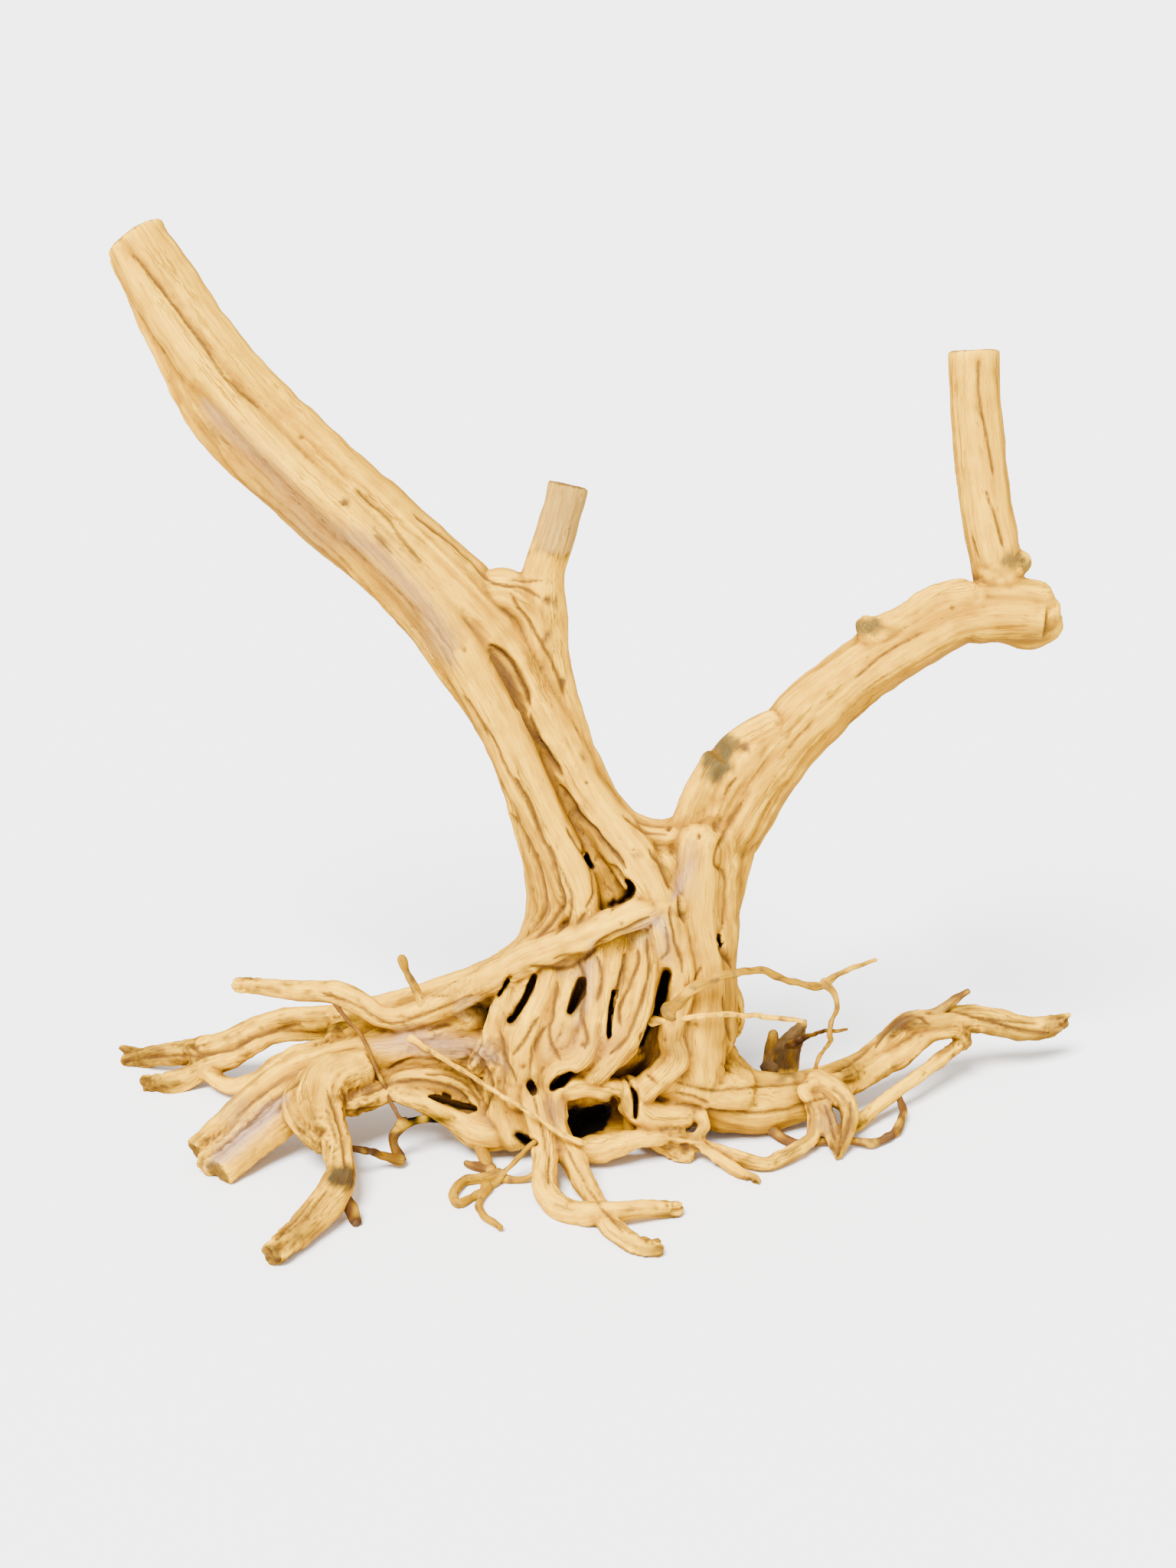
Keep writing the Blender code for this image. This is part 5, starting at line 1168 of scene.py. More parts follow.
def broken_tips(points, strands):
    """1 at the ragged ends of the roots, fading away over the last stretch of each."""
    share = np.zeros(len(points))
    for strand in strands:
        tip, radius = strand.centre[-1], strand.radius[-1]
        if radius > TIP_THICKNESS or tip[2] > TIP_HEIGHT or np.hypot(tip[0], tip[1]) < TIP_FROM_MIDDLE:
            continue
        apart = np.linalg.norm(points - tip, axis=1)
        share = np.maximum(share, smooth_step(TIP_LENGTH * radius, radius, apart))
    return share


def base_tints(points, normals, laid, fine_bulge, broad_bulge):
    """The wood's tint at each point from its shape: cream as painted highlight on crests and on faces turned
    up, gold on flanks, ochre and brown as painted shade under the wood and in its hollows, dusty mauve in
    broad hollows, most in the crown, with slow changes along the strands."""
    count = len(points)
    colours = np.tile(np.array(TINTS["gold"]), (count, 1))
    drift = smooth_noise(points / 45, 3) + 0.5 * smooth_noise(points / 19, 4)
    streak = strand_noise(laid, 60, 4.5, 11)
    down = np.maximum(-normals[:, 2], 0)
    up = np.maximum(normals[:, 2], 0)
    # Painted shade: ochre on faces turned down and in broad hollows, over a random drift and streaks of tone.
    colours = mixed(colours, "ochre", 0.20 + 0.25 * drift + 0.2 * streak + 0.7 * down - 0.6 * broad_bulge)
    # Painted highlight: cream on crests and on faces turned up.
    colours = mixed(colours, "cream", 0.10 + 0.7 * broad_bulge + 0.30 * fine_bulge + 0.25 * streak + 0.25 * up
                    - 0.5 * down)
    crown = smooth_step(150, 105, points[:, 2])
    colours = mixed(colours, "mauve", smooth_step(0.2, 1.0, -0.9 * broad_bulge + 0.3 * drift)
                    * (0.25 + 0.5 * crown))
    # Painted shade: brown in sharp hollows and on faces turned down.
    colours = mixed(colours, "brown_tan", smooth_step(0.3, 1.2, -fine_bulge) * 0.5
                    + 0.35 * smooth_step(0.3, 1.0, down))
    rough = root_zone(points) * (0.45 + 0.55 * smooth_step(FULL_THICKNESS, THIN_THICKNESS, laid.thickness))
    for tint, stretch, width, seed, low, high, strength in ROOT_STREAKS:
        share = rough * smooth_step(low, high, strand_noise(laid, stretch, width, seed)) * strength
        colours = mixed(colours, tint, share)
    return colours


def hand_tints(colours, picture, seen):
    """The tints with the listed bands and patches laid over what the eye sees."""
    for tint, half_width, strength, line in BANDS.values():
        near = in_reach(picture, line, 3 * half_width)
        near = near[seen[near] > 0.01]
        if len(near):
            share = strength * line_strength(picture[near], line, half_width, BAND_TAPER)[0] * seen[near]
            colours[near] = mixed(colours[near], tint, share)
    ragged = smooth_noise(np.column_stack([picture / 3, np.zeros(len(picture))]), 70)
    for tint, across, up, half_across, half_up, strength in PATCHES:
        near = in_reach(picture, [(across, up)], 3 * max(half_across, half_up))
        near = near[seen[near] > 0.01]
        offset = (picture[near] - (across, up)) / (half_across, half_up)
        edge = (offset**2).sum(axis=1) + 0.5 * ragged[near]
        colours[near] = mixed(colours[near], tint, strength * (1 - smooth_step(0.5, 1.7, edge)) * seen[near])
    return colours


def sawn_faces(points, normals, strands):
    """1 on the flat faces where limbs were sawn off, 0 elsewhere."""
    share = np.zeros(len(points))
    for strand in strands:
        if strand.name not in FLAT_ENDS:
            continue
        for end, outwards in ((0, -1), (-1, 1)):
            direction = strand.tangent[end] * outwards
            offset = points - strand.centre[end]
            ahead = offset @ direction
            beside = np.linalg.norm(offset - ahead[:, None] * direction, axis=1)
            near = (np.abs(ahead) < SAWN_RIM) & (beside < strand.radius[end] * SAWN_SPREAD)
            faced = smooth_step(0.45, 0.8, normals @ direction)
            share = np.maximum(share, near * faced)
    return share


def ridges(laid, rows):
    """The height of ridges along the strands: the sum of H R(L, W), with R a ridged noise of length L and
    width W, over rows of (H, L, W, seed)."""
    return sum(height * strand_noise(laid, length, width, seed, ridged=True)
               for height, length, width, seed in rows)


def lumps(points, rows):
    """The height of lumps in all directions: the sum of H N(S), with N a smooth noise of size S, over rows
    of (H, S, seed)."""
    return sum(height * smooth_noise(points / size, seed) for height, size, seed in rows)


def natural_height(points, laid, sawn, tips):
    """How far the skin rises at each point: ridges and lumps, more of them on thin strands, less the seams
    sunk between strands and what is broken off the root tips."""
    size = np.clip(laid.thickness / FULL_THICKNESS, 0.25, 1) * (1 - sawn)
    seam = np.exp(-((laid.lead / SEAM_WIDTH) ** 2))
    thin = smooth_step(FULL_THICKNESS, THIN_THICKNESS, laid.thickness)
    height = (ridges(laid, RIDGES) + lumps(points, LUMPS)) * size
    height += lumps(points, THIN_LUMPS) * thin * (1 - sawn)
    height += ridges(laid, THIN_RIDGES) * thin * (1 - sawn)
    height -= 0.35 * seam * size
    height -= tips * (1.5 * np.abs(smooth_noise(points / 2.8, 61)) + 0.7 * strand_noise(laid, 12, 2.2, 62))
    height += 0.35 * sawn * smooth_noise(points / 1.8, 6)
    return height


def crack_shade_share(drawn, shade, laid, fine_bulge, sawn):
    """How much painted shade each point has from cracks: the most of the drawn lines' darkness, the pockets'
    painted shade, shade painted into cracks broken along the seams, and painted shade in the sharpest
    hollows."""
    crack_shade = np.maximum(drawn, shade)
    broken = smooth_step(-0.2, 0.5, strand_noise(laid, 24, 6.0, 71)) * (1 - sawn)
    crack_shade = np.maximum(crack_shade, 0.50 * broken * np.exp(-((laid.lead / SEAM_CRACK_WIDTH) ** 2)))
    return np.maximum(crack_shade, 0.55 * smooth_step(0.75, 1.45, -fine_bulge) * (1 - sawn))


def carved_skin(made, settings):
    """Works relief into the fused skin and returns its places and what the finish needs at each vertex."""
    mesh = made.data
    around = Neighbours(mesh)
    points = around.eased(points_of(mesh), EASING_ROUNDS)
    put_points(mesh, points)
    normals = points_of(mesh, "normals")
    strands = [Strand(name, rows) for name, rows in STRANDS.items()]
    laid = laid_to_strands(points, strands)
    seen, facing = seen_from_front(made, points, normals)
    seen = np.clip(around.blurred(seen.astype(float), 2), 0, 1)
    drawn_on = smooth_step(0.1, 0.6, seen)
    picture = on_picture(points)
    depth, dark, crease_shade = drawn_relief(picture)
    sawn = sawn_faces(points, normals, strands)
    tips = broken_tips(points, strands)
    height = natural_height(points, laid, sawn, tips) - depth * drawn_on
    carved = points + normals * (height * settings.relief)[:, None]
    carved = around.eased(carved, 1)
    carved[:, 2] = np.maximum(carved[:, 2], 0)
    put_points(mesh, carved)
    normals = points_of(mesh, "normals")
    fine = around.blurred(carved, FINE_ROUNDS)
    broad = around.blurred(fine, BROAD_ROUNDS)
    fine_bulge = np.clip(((carved - fine) * normals).sum(axis=1) / FINE_BULGE, -1.5, 1.5)
    broad_bulge = np.clip(((fine - broad) * normals).sum(axis=1) / BROAD_BULGE, -1.5, 1.5)
    colours = base_tints(carved, normals, laid, fine_bulge, broad_bulge)
    colours = hand_tints(colours, picture, seen)
    # Painted shade: a soft brown halo round the dark drawn creases.
    colours = mixed(colours, "brown_tan", 0.55 * crease_shade * drawn_on)
    colours = mixed(colours, "sawn", 0.8 * sawn)
    colours = mixed(colours, "brown", tips * smooth_step(-0.3, 0.6, strand_noise(laid, 9, 2.0, 63)) * 0.9)
    # Painted shade: ochre where the skin turns away from the eye, towards its outline.
    colours = mixed(colours, "ochre", 0.4 * smooth_step(0.55, 0.1, facing) * seen)
    shade, colours = pocket_shade(points, picture, seen, colours)
    # Painted shade of the drawn cracks, the pockets, the seams and the sharpest hollows, kept for the
    # material.
    crack_shade = crack_shade_share(0.86 * dark * drawn_on, shade, laid, fine_bulge, sawn)
    steady = smooth_step(0.2, 1.4, laid.lead) * (1 - sawn)
    return carved, finish_of(colours, laid.place, crack_shade, steady, sawn)


def finish_of(colours, place, crack_shade, steady, sawn):
    """What the material reads at each vertex, by name: tint, with painted shade and highlight in it, place
    along the grain, how much painted shade of cracks, pockets and hollows it has, how far the grain shows,
    and how much of it is a sawn face."""
    return {
        "wood_tint_and_painted_light": np.column_stack([np.clip(colours, 0, 1), np.ones(len(colours))]),
        "grain_place": place,
        "crack_shade": crack_shade,
        "grain_hold": steady,
        "sawn": sawn,
    }


def add_finish(mesh, finish):
    """Keeps each part of the finish, a value, vector or colour for each vertex, on the mesh."""
    kinds = {1: ("FLOAT", "value"), 3: ("FLOAT_VECTOR", "vector"), 4: ("FLOAT_COLOR", "color")}
    for name, values in finish.items():
        width = 1 if values.ndim == 1 else values.shape[1]
        kind, field = kinds[width]
        made = mesh.attributes.new(name, kind, "POINT")
        made.data.foreach_set(field, values.astype(np.float32).ravel())


def shelter(made):
    """How closed in each vertex is: the share of rays spread over its outer half space that soon meet the
    wood, near hits counting more. Ray k leaves the normal by the angle whose sine squared is
    (k + 1/2) / rays, turned by the golden angle from the ray before it."""
    points, normals = points_of(made.data), points_of(made.data, "normals")
    tree = BVHTree.FromObject(made, bpy.context.evaluated_depsgraph_get())
    turn = np.arange(SHELTER_RAYS) * pi * (3 - 5**0.5)
    out = np.sqrt((np.arange(SHELTER_RAYS) + 0.5) / SHELTER_RAYS)
    side = np.cross(normals, np.where(np.abs(normals[:, :1]) > 0.7, (0.0, 1.0, 0.0), (1.0, 0.0, 0.0)))
    side /= np.linalg.norm(side, axis=1)[:, None]
    lift = np.cross(normals, side)
    starts = ((points + normals * 0.4) * MILLIMETRE).tolist()
    total = np.zeros(len(points))
    for k in range(SHELTER_RAYS):
        ways = (side * (out[k] * cos(turn[k])) + lift * (out[k] * sin(turn[k]))
                + normals * (1 - out[k] ** 2) ** 0.5).tolist()
        for n, start in enumerate(starts):
            distance = tree.ray_cast(start, ways[n], SHELTER_REACH * MILLIMETRE)[3]
            if distance is not None:
                total[n] += 1 - 0.7 * distance / (SHELTER_REACH * MILLIMETRE)
    return total / SHELTER_RAYS


def sheltered(tints, shade, points):
    """The tints with painted shade laid over them where the wood is closed in: ochre, then tan, then brown.
    """
    colours = tints[:, :3]
    ragged = 0.12 * smooth_noise(points / 4, 81)
    for tint, low, high, strength in SHELTER_SHADE_TINTS:
        colours = mixed(colours, tint, strength * smooth_step(low, high, shade + ragged))
    return np.column_stack([np.clip(colours, 0, 1), np.ones(len(colours))])


def hand_over(carved, finish, made):
    """Gives the thinned mesh the finish of the nearest vertices of the full skin, with painted shade from its
    shelter laid into the tint."""
    mesh = made.data
    tree = KDTree(len(carved))
    for n, point in enumerate(carved.tolist()):
        tree.insert(point, n)
    tree.balance()
    nearest = [tree.find(point)[1] for point in points_of(mesh).tolist()]
    finish = {name: values[nearest] for name, values in finish.items()}
    shade = Neighbours(mesh).blurred(shelter(made), 1)
    # Painted shade: ochre, tan and brown where the wood is closed in.
    finish["wood_tint_and_painted_light"] = sheltered(finish["wood_tint_and_painted_light"], shade, points_of(mesh))
    add_finish(mesh, finish)


def pocket_shade(points, picture, seen, colours):
    """How much painted shade each place inside a slot or pocket has: the deeper it lies behind the rim, the
    darker. Gives the tints too, with the pockets' own laid over them."""
    shade = np.zeros(len(points))
    away = (points - EYE) @ SIGHT
    for name, (outline, depths) in POCKETS.items():
        rows = smooth_curve(np.array([(across, up, 0.0, half) for across, up, half in outline]), LINE_STEP)
        near = in_reach(picture, rows[:, :2], POCKET_REACH)
        apart = np.sqrt(((picture[near][:, None] - rows[None, :, :2]) ** 2).sum(axis=2)) - rows[:, 3]
        beyond = apart.min(axis=1)
        rim = near[(beyond > POCKET_RIM[0]) & (beyond < POCKET_RIM[1]) & (seen[near] > 0.5)]
        if not len(rim):
            continue
        sunk = away[near] - np.median(away[rim])
        past_back = points[near, 1] - depths[1]
        reached = smooth_step(*POCKET_MARGIN, past_back)
        inside = smooth_step(1.3, -0.8, beyond) * smooth_step(*POCKET_DEPTHS, sunk) * reached
        shade[near] = np.maximum(shade[near], POCKET_DARKNESS.get(name, 1.0) * inside)
        if name in POCKET_TINTS:
            lined = smooth_step(1.5, 0, beyond) * smooth_step(0.5, 3, sunk) * reached
            colours[near] = mixed(colours[near], POCKET_TINTS[name], 0.8 * lined)
    return shade, colours


def fused_wood(settings):
    """The strands fused into one skin, with the pockets cut and the feet sawn off level with the floor."""
    bars = []
    for name, points in {**STRANDS, **WEBS}.items():
        places, half = sighted(points)
        flat = name in FLAT_ENDS
        bars.append(bar(name, places, half, STRAND_SIDES, STRAND_STEP, flat, STRAND_LUMPS))
    wood = fused(joined("driftwood_wood", bars), settings.skin_voxel)
    cutters = [part for name, (outline, depths) in POCKETS.items()
               for part in pocket_cutter(name, outline, depths)]
    cut(wood, fused(joined("pocket_cutters", cutters), settings.skin_voxel))
    bpy.ops.mesh.primitive_cube_add(size=1.0, location=(0, 0, -0.5))
    floor = bpy.context.object
    bpy.ops.object.transform_apply()
    cut(wood, floor)
    return largest_body(fused(wood, settings.skin_voxel))


def set_down(made, name, material):
    """Moves a finished mesh to the middle of its footprint and gives it its name and finish."""
    points = points_of(made.data)
    points[:, :2] -= FOOTPRINT_CENTRE
    put_points(made.data, points)
    made.name = name
    made.data.name = name
    made.data.materials.clear()
    made.data.materials.append(material)
    made.data.shade_smooth()
    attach(made, "root")


def rootlet_bar(name, points):
    """A thin root as a lumpy closed tube, wider where it leaves the wood, with its finish."""
    places, half = sighted(points)
    rows = smooth_curve(np.column_stack([places, half]), ROOTLET_STEP)
    along = np.arange(len(rows)) * ROOTLET_STEP
    flare = ROOTLET_FLARE * np.exp(-along / ROOTLET_FLARE_LENGTH)
    rows[:, 3] *= 1 + flare + ROOTLET_LUMPS * smooth_noise(rows[:, :3] / 4.0, 21)
    wander = np.stack([smooth_noise(rows[:, :3] / 6.0, 30 + k) for k in range(3)], axis=1)
    rows[:, 3] *= np.clip(ROOTLET_THINNEST + 0.22 * (rows[:, 3] - 1.4), ROOTLET_THINNEST, 1)
    rows[:, :3] += ROOTLET_WANDER * wander * smooth_step(0, 10, along)[:, None]
    rows[:, 2] = np.maximum(rows[:, 2], rows[:, 3] * 0.85)
    made = bar(name, rows[:, :3], rows[:, 3], ROOTLET_SIDES, ROOTLET_STEP, False, ROOTLET_LUMPS)
    skin = points_of(made.data)
    skin[:, 2] = np.maximum(skin[:, 2], 0)
    put_points(made.data, skin)
    place = Strand(name, points).coordinates(skin)[0]
    ground = TINTS[ROOTLET_TINTS.get(name, "root_gold")]
    colours = np.tile(np.array(ground), (len(skin), 1))
    for tint, size, seed, low, high, strength in ROOTLET_MOTTLES:
        colours = mixed(colours, tint, smooth_step(low, high, smooth_noise(skin / size, seed)) * strength)
    none, full = np.zeros(len(skin)), np.ones(len(skin))
    add_finish(made.data, finish_of(colours, place, none, full, none))
    return made


def add_node(tree, kind, **inputs):
    """A shader node with the given inputs set or joined; an input's spaces are written as underscores."""
    node = tree.nodes.new(kind)
    for name, value in inputs.items():
        socket = node.inputs[int(name[1:])] if name[1:].isdigit() else node.inputs[name.replace("_", " ")]
        if isinstance(value, bpy.types.NodeSocket):
            tree.links.new(value, socket)
        else:
            socket.default_value = value
    return node


def new_group(name, inputs, outputs):
    """An empty shader node group with the given sockets, and its inner input and output nodes."""
    group = bpy.data.node_groups.new(name, "ShaderNodeTree")
    for socket, kind in inputs.items():
        group.interface.new_socket(socket, in_out="INPUT", socket_type=kind)
    for socket, kind in outputs.items():
        group.interface.new_socket(socket, in_out="OUTPUT", socket_type=kind)
    return group, group.nodes.new("NodeGroupInput").outputs, group.nodes.new("NodeGroupOutput").inputs


def stretched_noise(tree, place, scale, detail):
    """A noise drawn out along the grain: the place is scaled unevenly before it is read."""
    mapping = add_node(tree, "ShaderNodeMapping", Vector=place, Scale=scale)
    return add_node(tree, "ShaderNodeTexNoise", Vector=mapping.outputs["Vector"], Scale=1.0, Detail=detail,
                    Roughness=0.6).outputs["Fac"]


def arithmetic(tree, operation, a, b):
    """One sum on two numbers or sockets."""
    node = add_node(tree, "ShaderNodeMath", i0=a, i1=b)
    node.operation = operation
    return node.outputs["Value"]


def ranged(tree, value, low, high, to_low=0.0, to_high=1.0):
    """A value moved from one range to another and kept within it."""
    node = tree.nodes.new("ShaderNodeMapRange")
    tree.links.new(value, node.inputs["Value"])
    node.inputs["From Min"].default_value = low
    node.inputs["From Max"].default_value = high
    node.inputs["To Min"].default_value = to_low
    node.inputs["To Max"].default_value = to_high
    return node.outputs["Result"]


def blended(tree, share, a, b, kind="MIX"):
    """Two colours blended by a share."""
    node = tree.nodes.new("ShaderNodeMix")
    node.data_type = "RGBA"
    node.blend_type = kind
    for value, name in ((share, "Factor_Float"), (a, "A_Color"), (b, "B_Color")):
        socket = next(s for s in node.inputs if s.identifier == name)
        if isinstance(value, bpy.types.NodeSocket):
            tree.links.new(value, socket)
        else:
            socket.default_value = value
    return next(s for s in node.outputs if s.identifier == "Result_Color")


def grain_group():
    """Fine streaks, fibres, pores and splits that run along the strand, as a streak value, a bump height and
    how much of a pore or split each place is."""
    group, given, wanted = new_group(
        "fine_grain",
        {"Place": "NodeSocketVector", "Hold": "NodeSocketFloat"},
        {"Streak": "NodeSocketFloat", "Height": "NodeSocketFloat", "Pore": "NodeSocketFloat"})
    streak = stretched_noise(group, given["Place"], STREAK_SCALE, 3.0)
    fibre = stretched_noise(group, given["Place"], FIBRE_SCALE, 2.0)
    dot = stretched_noise(group, given["Place"], DOT_SCALE, 1.0)
    both = arithmetic(group, "ADD", arithmetic(group, "MULTIPLY", streak, 0.6),
                      arithmetic(group, "MULTIPLY", fibre, 0.4))
    centred = arithmetic(group, "MULTIPLY", arithmetic(group, "SUBTRACT", both, 0.5), given["Hold"])
    wave = stretched_noise(group, given["Place"], SPLIT_WAVE_SCALE, 2.0)
    apart = arithmetic(group, "ABSOLUTE", arithmetic(group, "SUBTRACT", wave, 0.5), 0.0)
    area = stretched_noise(group, given["Place"], SPLIT_AREA_SCALE, 1.0)
    split = arithmetic(group, "MULTIPLY", ranged(group, apart, 0.008, 0.040, 1.0, 0.0),
                       ranged(group, area, 0.52, 0.62))
    dots = arithmetic(group, "MAXIMUM", ranged(group, dot, 0.70, 0.80), split)
    pore = arithmetic(group, "MULTIPLY", dots, given["Hold"])
    group.links.new(arithmetic(group, "ADD", centred, 0.5), wanted["Streak"])
    group.links.new(arithmetic(group, "SUBTRACT", centred, arithmetic(group, "MULTIPLY", pore, 0.45)),
                    wanted["Height"])
    group.links.new(pore, wanted["Pore"])
    return group


def tint_group():
    """The wood's tint with streaks, pores, the painted shade of cracks, pockets and hollows, and sawn faces
    laid over it.
    """
    group, given, wanted = new_group(
        "weathered_and_shaded_tint",
        {"Tint": "NodeSocketColor", "Streak": "NodeSocketFloat", "Pore": "NodeSocketFloat",
         "Crack shade": "NodeSocketFloat", "Sawn": "NodeSocketFloat", "Place": "NodeSocketVector"},
        {"Color": "NodeSocketColor"})
    dark = blended(group, 1.0, given["Tint"], STREAK_DARK, "MULTIPLY")
    light = blended(group, 1.0, given["Tint"], STREAK_LIGHT, "MULTIPLY")
    streaked = blended(group, ranged(group, given["Streak"], 0.34, 0.60), dark, light)
    pore_share = arithmetic(group, "MULTIPLY", given["Pore"], 0.55)
    pored = blended(group, pore_share, streaked, PORE_BROWN)
    rough = stretched_noise(group, given["Place"], SAWN_SCALE, 3.0)
    sawn_share = arithmetic(group, "MULTIPLY", ranged(group, rough, 0.42, 0.62, 0.15, 0.75), given["Sawn"])
    sawn = blended(group, sawn_share, pored, SAWN_BROWN)
    # Painted shade of cracks, pockets and hollows: brown where it is weak, black where it is strong.
    brown = blended(group, ranged(group, given["Crack shade"], 0.12, 0.82), sawn, CRACK_SHADE_BROWN)
    black = blended(group, ranged(group, given["Crack shade"], 0.66, 0.98), brown, CRACK_SHADE_BLACK)
    group.links.new(black, wanted["Color"])
    return group


def group_node(tree, group, joins):
    """A node that uses the group, with its inputs joined to the given sockets. Gives its outputs."""
    node = tree.nodes.new("ShaderNodeGroup")
    node.node_tree = group
    for name, socket in joins.items():
        tree.links.new(socket, node.inputs[name])
    return node.outputs


def wood_material(settings):
    """Dry, sun-bleached wood: a matt Principled surface whose tint, roughness and fine bump follow the
    grain."""
    wood = bpy.data.materials.new(FINISH_NAME)
    wood.use_nodes = True
    tree = wood.node_tree
    shader = tree.nodes["Principled BSDF"]
    read = {}
    for name in ("wood_tint_and_painted_light", "grain_place", "crack_shade", "grain_hold", "sawn"):
        read[name] = tree.nodes.new("ShaderNodeAttribute")
        read[name].attribute_name = name
    place = read["grain_place"].outputs["Vector"]
    grain = group_node(tree, grain_group(), {"Place": place, "Hold": read["grain_hold"].outputs["Fac"]})
    tint = group_node(tree, tint_group(), {
        "Tint": read["wood_tint_and_painted_light"].outputs["Color"], "Streak": grain["Streak"], "Pore": grain["Pore"],
        "Crack shade": read["crack_shade"].outputs["Fac"], "Sawn": read["sawn"].outputs["Fac"], "Place": place})
    bump = add_node(tree, "ShaderNodeBump", Strength=0.9, Distance=settings.grain_depth,
                    Height=grain["Height"])
    tree.links.new(tint["Color"], shader.inputs["Base Color"])
    tree.links.new(bump.outputs["Normal"], shader.inputs["Normal"])
    tree.links.new(ranged(tree, grain["Streak"], 0.3, 0.7, 0.78, 0.55), shader.inputs["Roughness"])
    shader.inputs["Specular IOR Level"].default_value = 0.01
    return wood


def shared_material(settings):
    """The wood's finish, made once and used by every piece."""
    return bpy.data.materials.get(FINISH_NAME) or wood_material(settings)


def plain_material(name, colour, roughness):
    """An even matt finish."""
    made = bpy.data.materials.new(name)
    made.use_nodes = True
    shader = made.node_tree.nodes["Principled BSDF"]
    shader.inputs["Base Color"].default_value = (*colour, 1.0)
    shader.inputs["Roughness"].default_value = roughness
    shader.inputs["Specular IOR Level"].default_value = 0.1
    return made


def key_light():
    """A soft light from high in front, the same over the whole floor."""
    lamp = bpy.data.lights.new("key", "SUN")
    lamp.energy = KEY_STRENGTH
    lamp.angle = KEY_SPREAD
    made = bpy.data.objects.new("key", lamp)
    bpy.context.scene.collection.objects.link(made)
    made.rotation_euler = Vector(KEY_FROM).to_track_quat("Z", "Y").to_euler()
    return made


class DriftwoodSettings(bpy.types.PropertyGroup):
    """What may be changed before the pieces are built."""

    skin_voxel: bpy.props.FloatProperty(
        name="Skin voxel", description="Size of the small faces the strands are fused with, in millimetres",
        default=1.05, min=0.8, max=4.0)
    skin_triangles: bpy.props.IntProperty(
        name="Skin triangles", description="About how many triangles the finished skin has",
        default=188000, min=20000, max=195000)
    relief: bpy.props.FloatProperty(
        name="Relief", description="Share of the full carved relief", default=1.0, min=0.0, max=1.5,
        subtype="FACTOR")
    grain_depth: bpy.props.FloatProperty(
        name="Grain depth", description="Height of the fine grain's bump", default=0.0005, min=0.0,
        max=0.002, unit="LENGTH")
    floor_width: bpy.props.FloatProperty(
        name="Floor width", description="Width of the square floor", default=40.0, min=2.0, max=90.0,
        unit="LENGTH")
    surround: bpy.props.FloatProperty(
        name="Surround", description="Brightness of the even light from all round", default=1.3, min=0.0,
        max=6.0)


class DRIFTWOOD_OT_wood(bpy.types.Operator):
    """Builds the fused and carved wood"""

    bl_idname = "driftwood.wood"
    bl_label = "Build the wood"

    def execute(self, context):
        settings = context.scene.driftwood
        made = fused_wood(settings)
        carved, finish = carved_skin(made, settings)
        thin = thinned(made, settings.skin_triangles)
        hand_over(carved, finish, thin)
        set_down(thin, "driftwood_skin", shared_material(settings))
        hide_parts("driftwood")
        return {"FINISHED"}


class DRIFTWOOD_OT_rootlets(bpy.types.Operator):
    """Builds the thin roots that leave the wood"""

    bl_idname = "driftwood.rootlets"
    bl_label = "Build the thin roots"

    def execute(self, context):
        settings = context.scene.driftwood
        made = joined("rootlets", [rootlet_bar(name, points) for name, points in ROOTLETS.items()])
        set_down(made, "thin_roots", shared_material(settings))
        return {"FINISHED"}


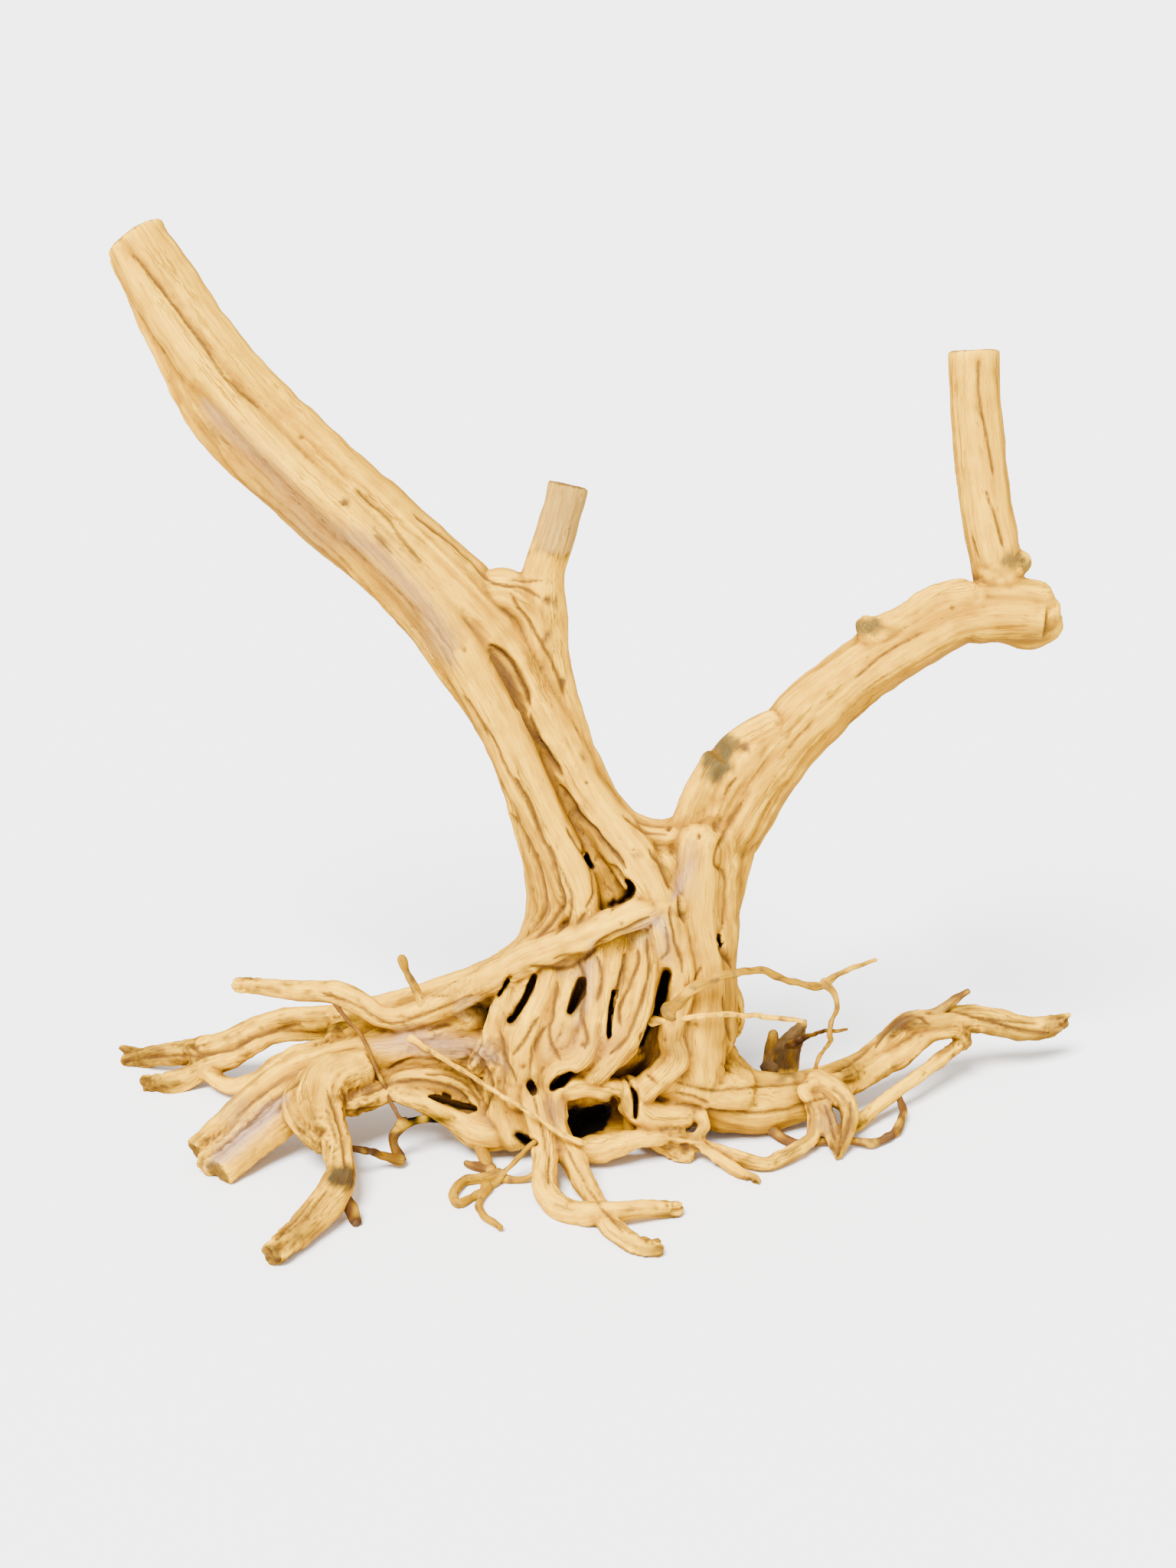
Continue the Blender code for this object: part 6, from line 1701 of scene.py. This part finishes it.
class DRIFTWOOD_OT_stage(bpy.types.Operator):
    """Builds the floor, the lights and the camera"""

    bl_idname = "driftwood.stage"
    bl_label = "Build the stage"

    def execute(self, context):
        settings = context.scene.driftwood
        bpy.ops.mesh.primitive_plane_add(size=settings.floor_width)
        floor = context.object
        floor.name = "floor"
        floor.data.materials.append(plain_material("floor", FLOOR_COLOUR, 0.9))
        world = bpy.data.worlds.new("surround")
        world.use_nodes = True
        world.node_tree.nodes["Background"].inputs["Color"].default_value = (1, 1, 1, 1)
        world.node_tree.nodes["Background"].inputs["Strength"].default_value = settings.surround
        context.scene.world = world
        lens = bpy.data.cameras.new("camera")
        lens.sensor_width = SENSOR_SIZE
        lens.lens = SENSOR_SIZE * EYE_DISTANCE / PICTURE_HEIGHT
        camera = bpy.data.objects.new("camera", lens)
        context.scene.collection.objects.link(camera)
        camera.location = (EYE - (*FOOTPRINT_CENTRE, 0.0)) * MILLIMETRE
        camera.rotation_euler = (pi / 2 - PICTURE_LEAN, 0, 0)
        context.scene.camera = camera
        key_light()
        return {"FINISHED"}


class DRIFTWOOD_PT_panel(bpy.types.Panel):
    """The sidebar panel with the settings and one button for each step"""

    bl_label = "Driftwood"
    bl_idname = "DRIFTWOOD_PT_panel"
    bl_space_type = "VIEW_3D"
    bl_region_type = "UI"
    bl_category = "Driftwood"

    def draw(self, context):
        settings = context.scene.driftwood
        for name in DriftwoodSettings.__annotations__:
            self.layout.prop(settings, name)
        for step in STEPS:
            self.layout.operator(step.bl_idname)


STEPS = (DRIFTWOOD_OT_wood, DRIFTWOOD_OT_rootlets, DRIFTWOOD_OT_stage)
CLASSES = (DriftwoodSettings, *STEPS, DRIFTWOOD_PT_panel)


def register():
    """Makes the settings, operators and panel known."""
    for made in CLASSES:
        bpy.utils.register_class(made)
    bpy.types.Scene.driftwood = bpy.props.PointerProperty(type=DriftwoodSettings)


def unregister():
    """Forgets the settings, operators and panel."""
    del bpy.types.Scene.driftwood
    for made in reversed(CLASSES):
        bpy.utils.unregister_class(made)


def main():
    """Builds every piece and the stage."""
    register()
    bpy.ops.driftwood.wood()
    bpy.ops.driftwood.rootlets()
    bpy.ops.driftwood.stage()


if __name__ == "__main__":
    main()
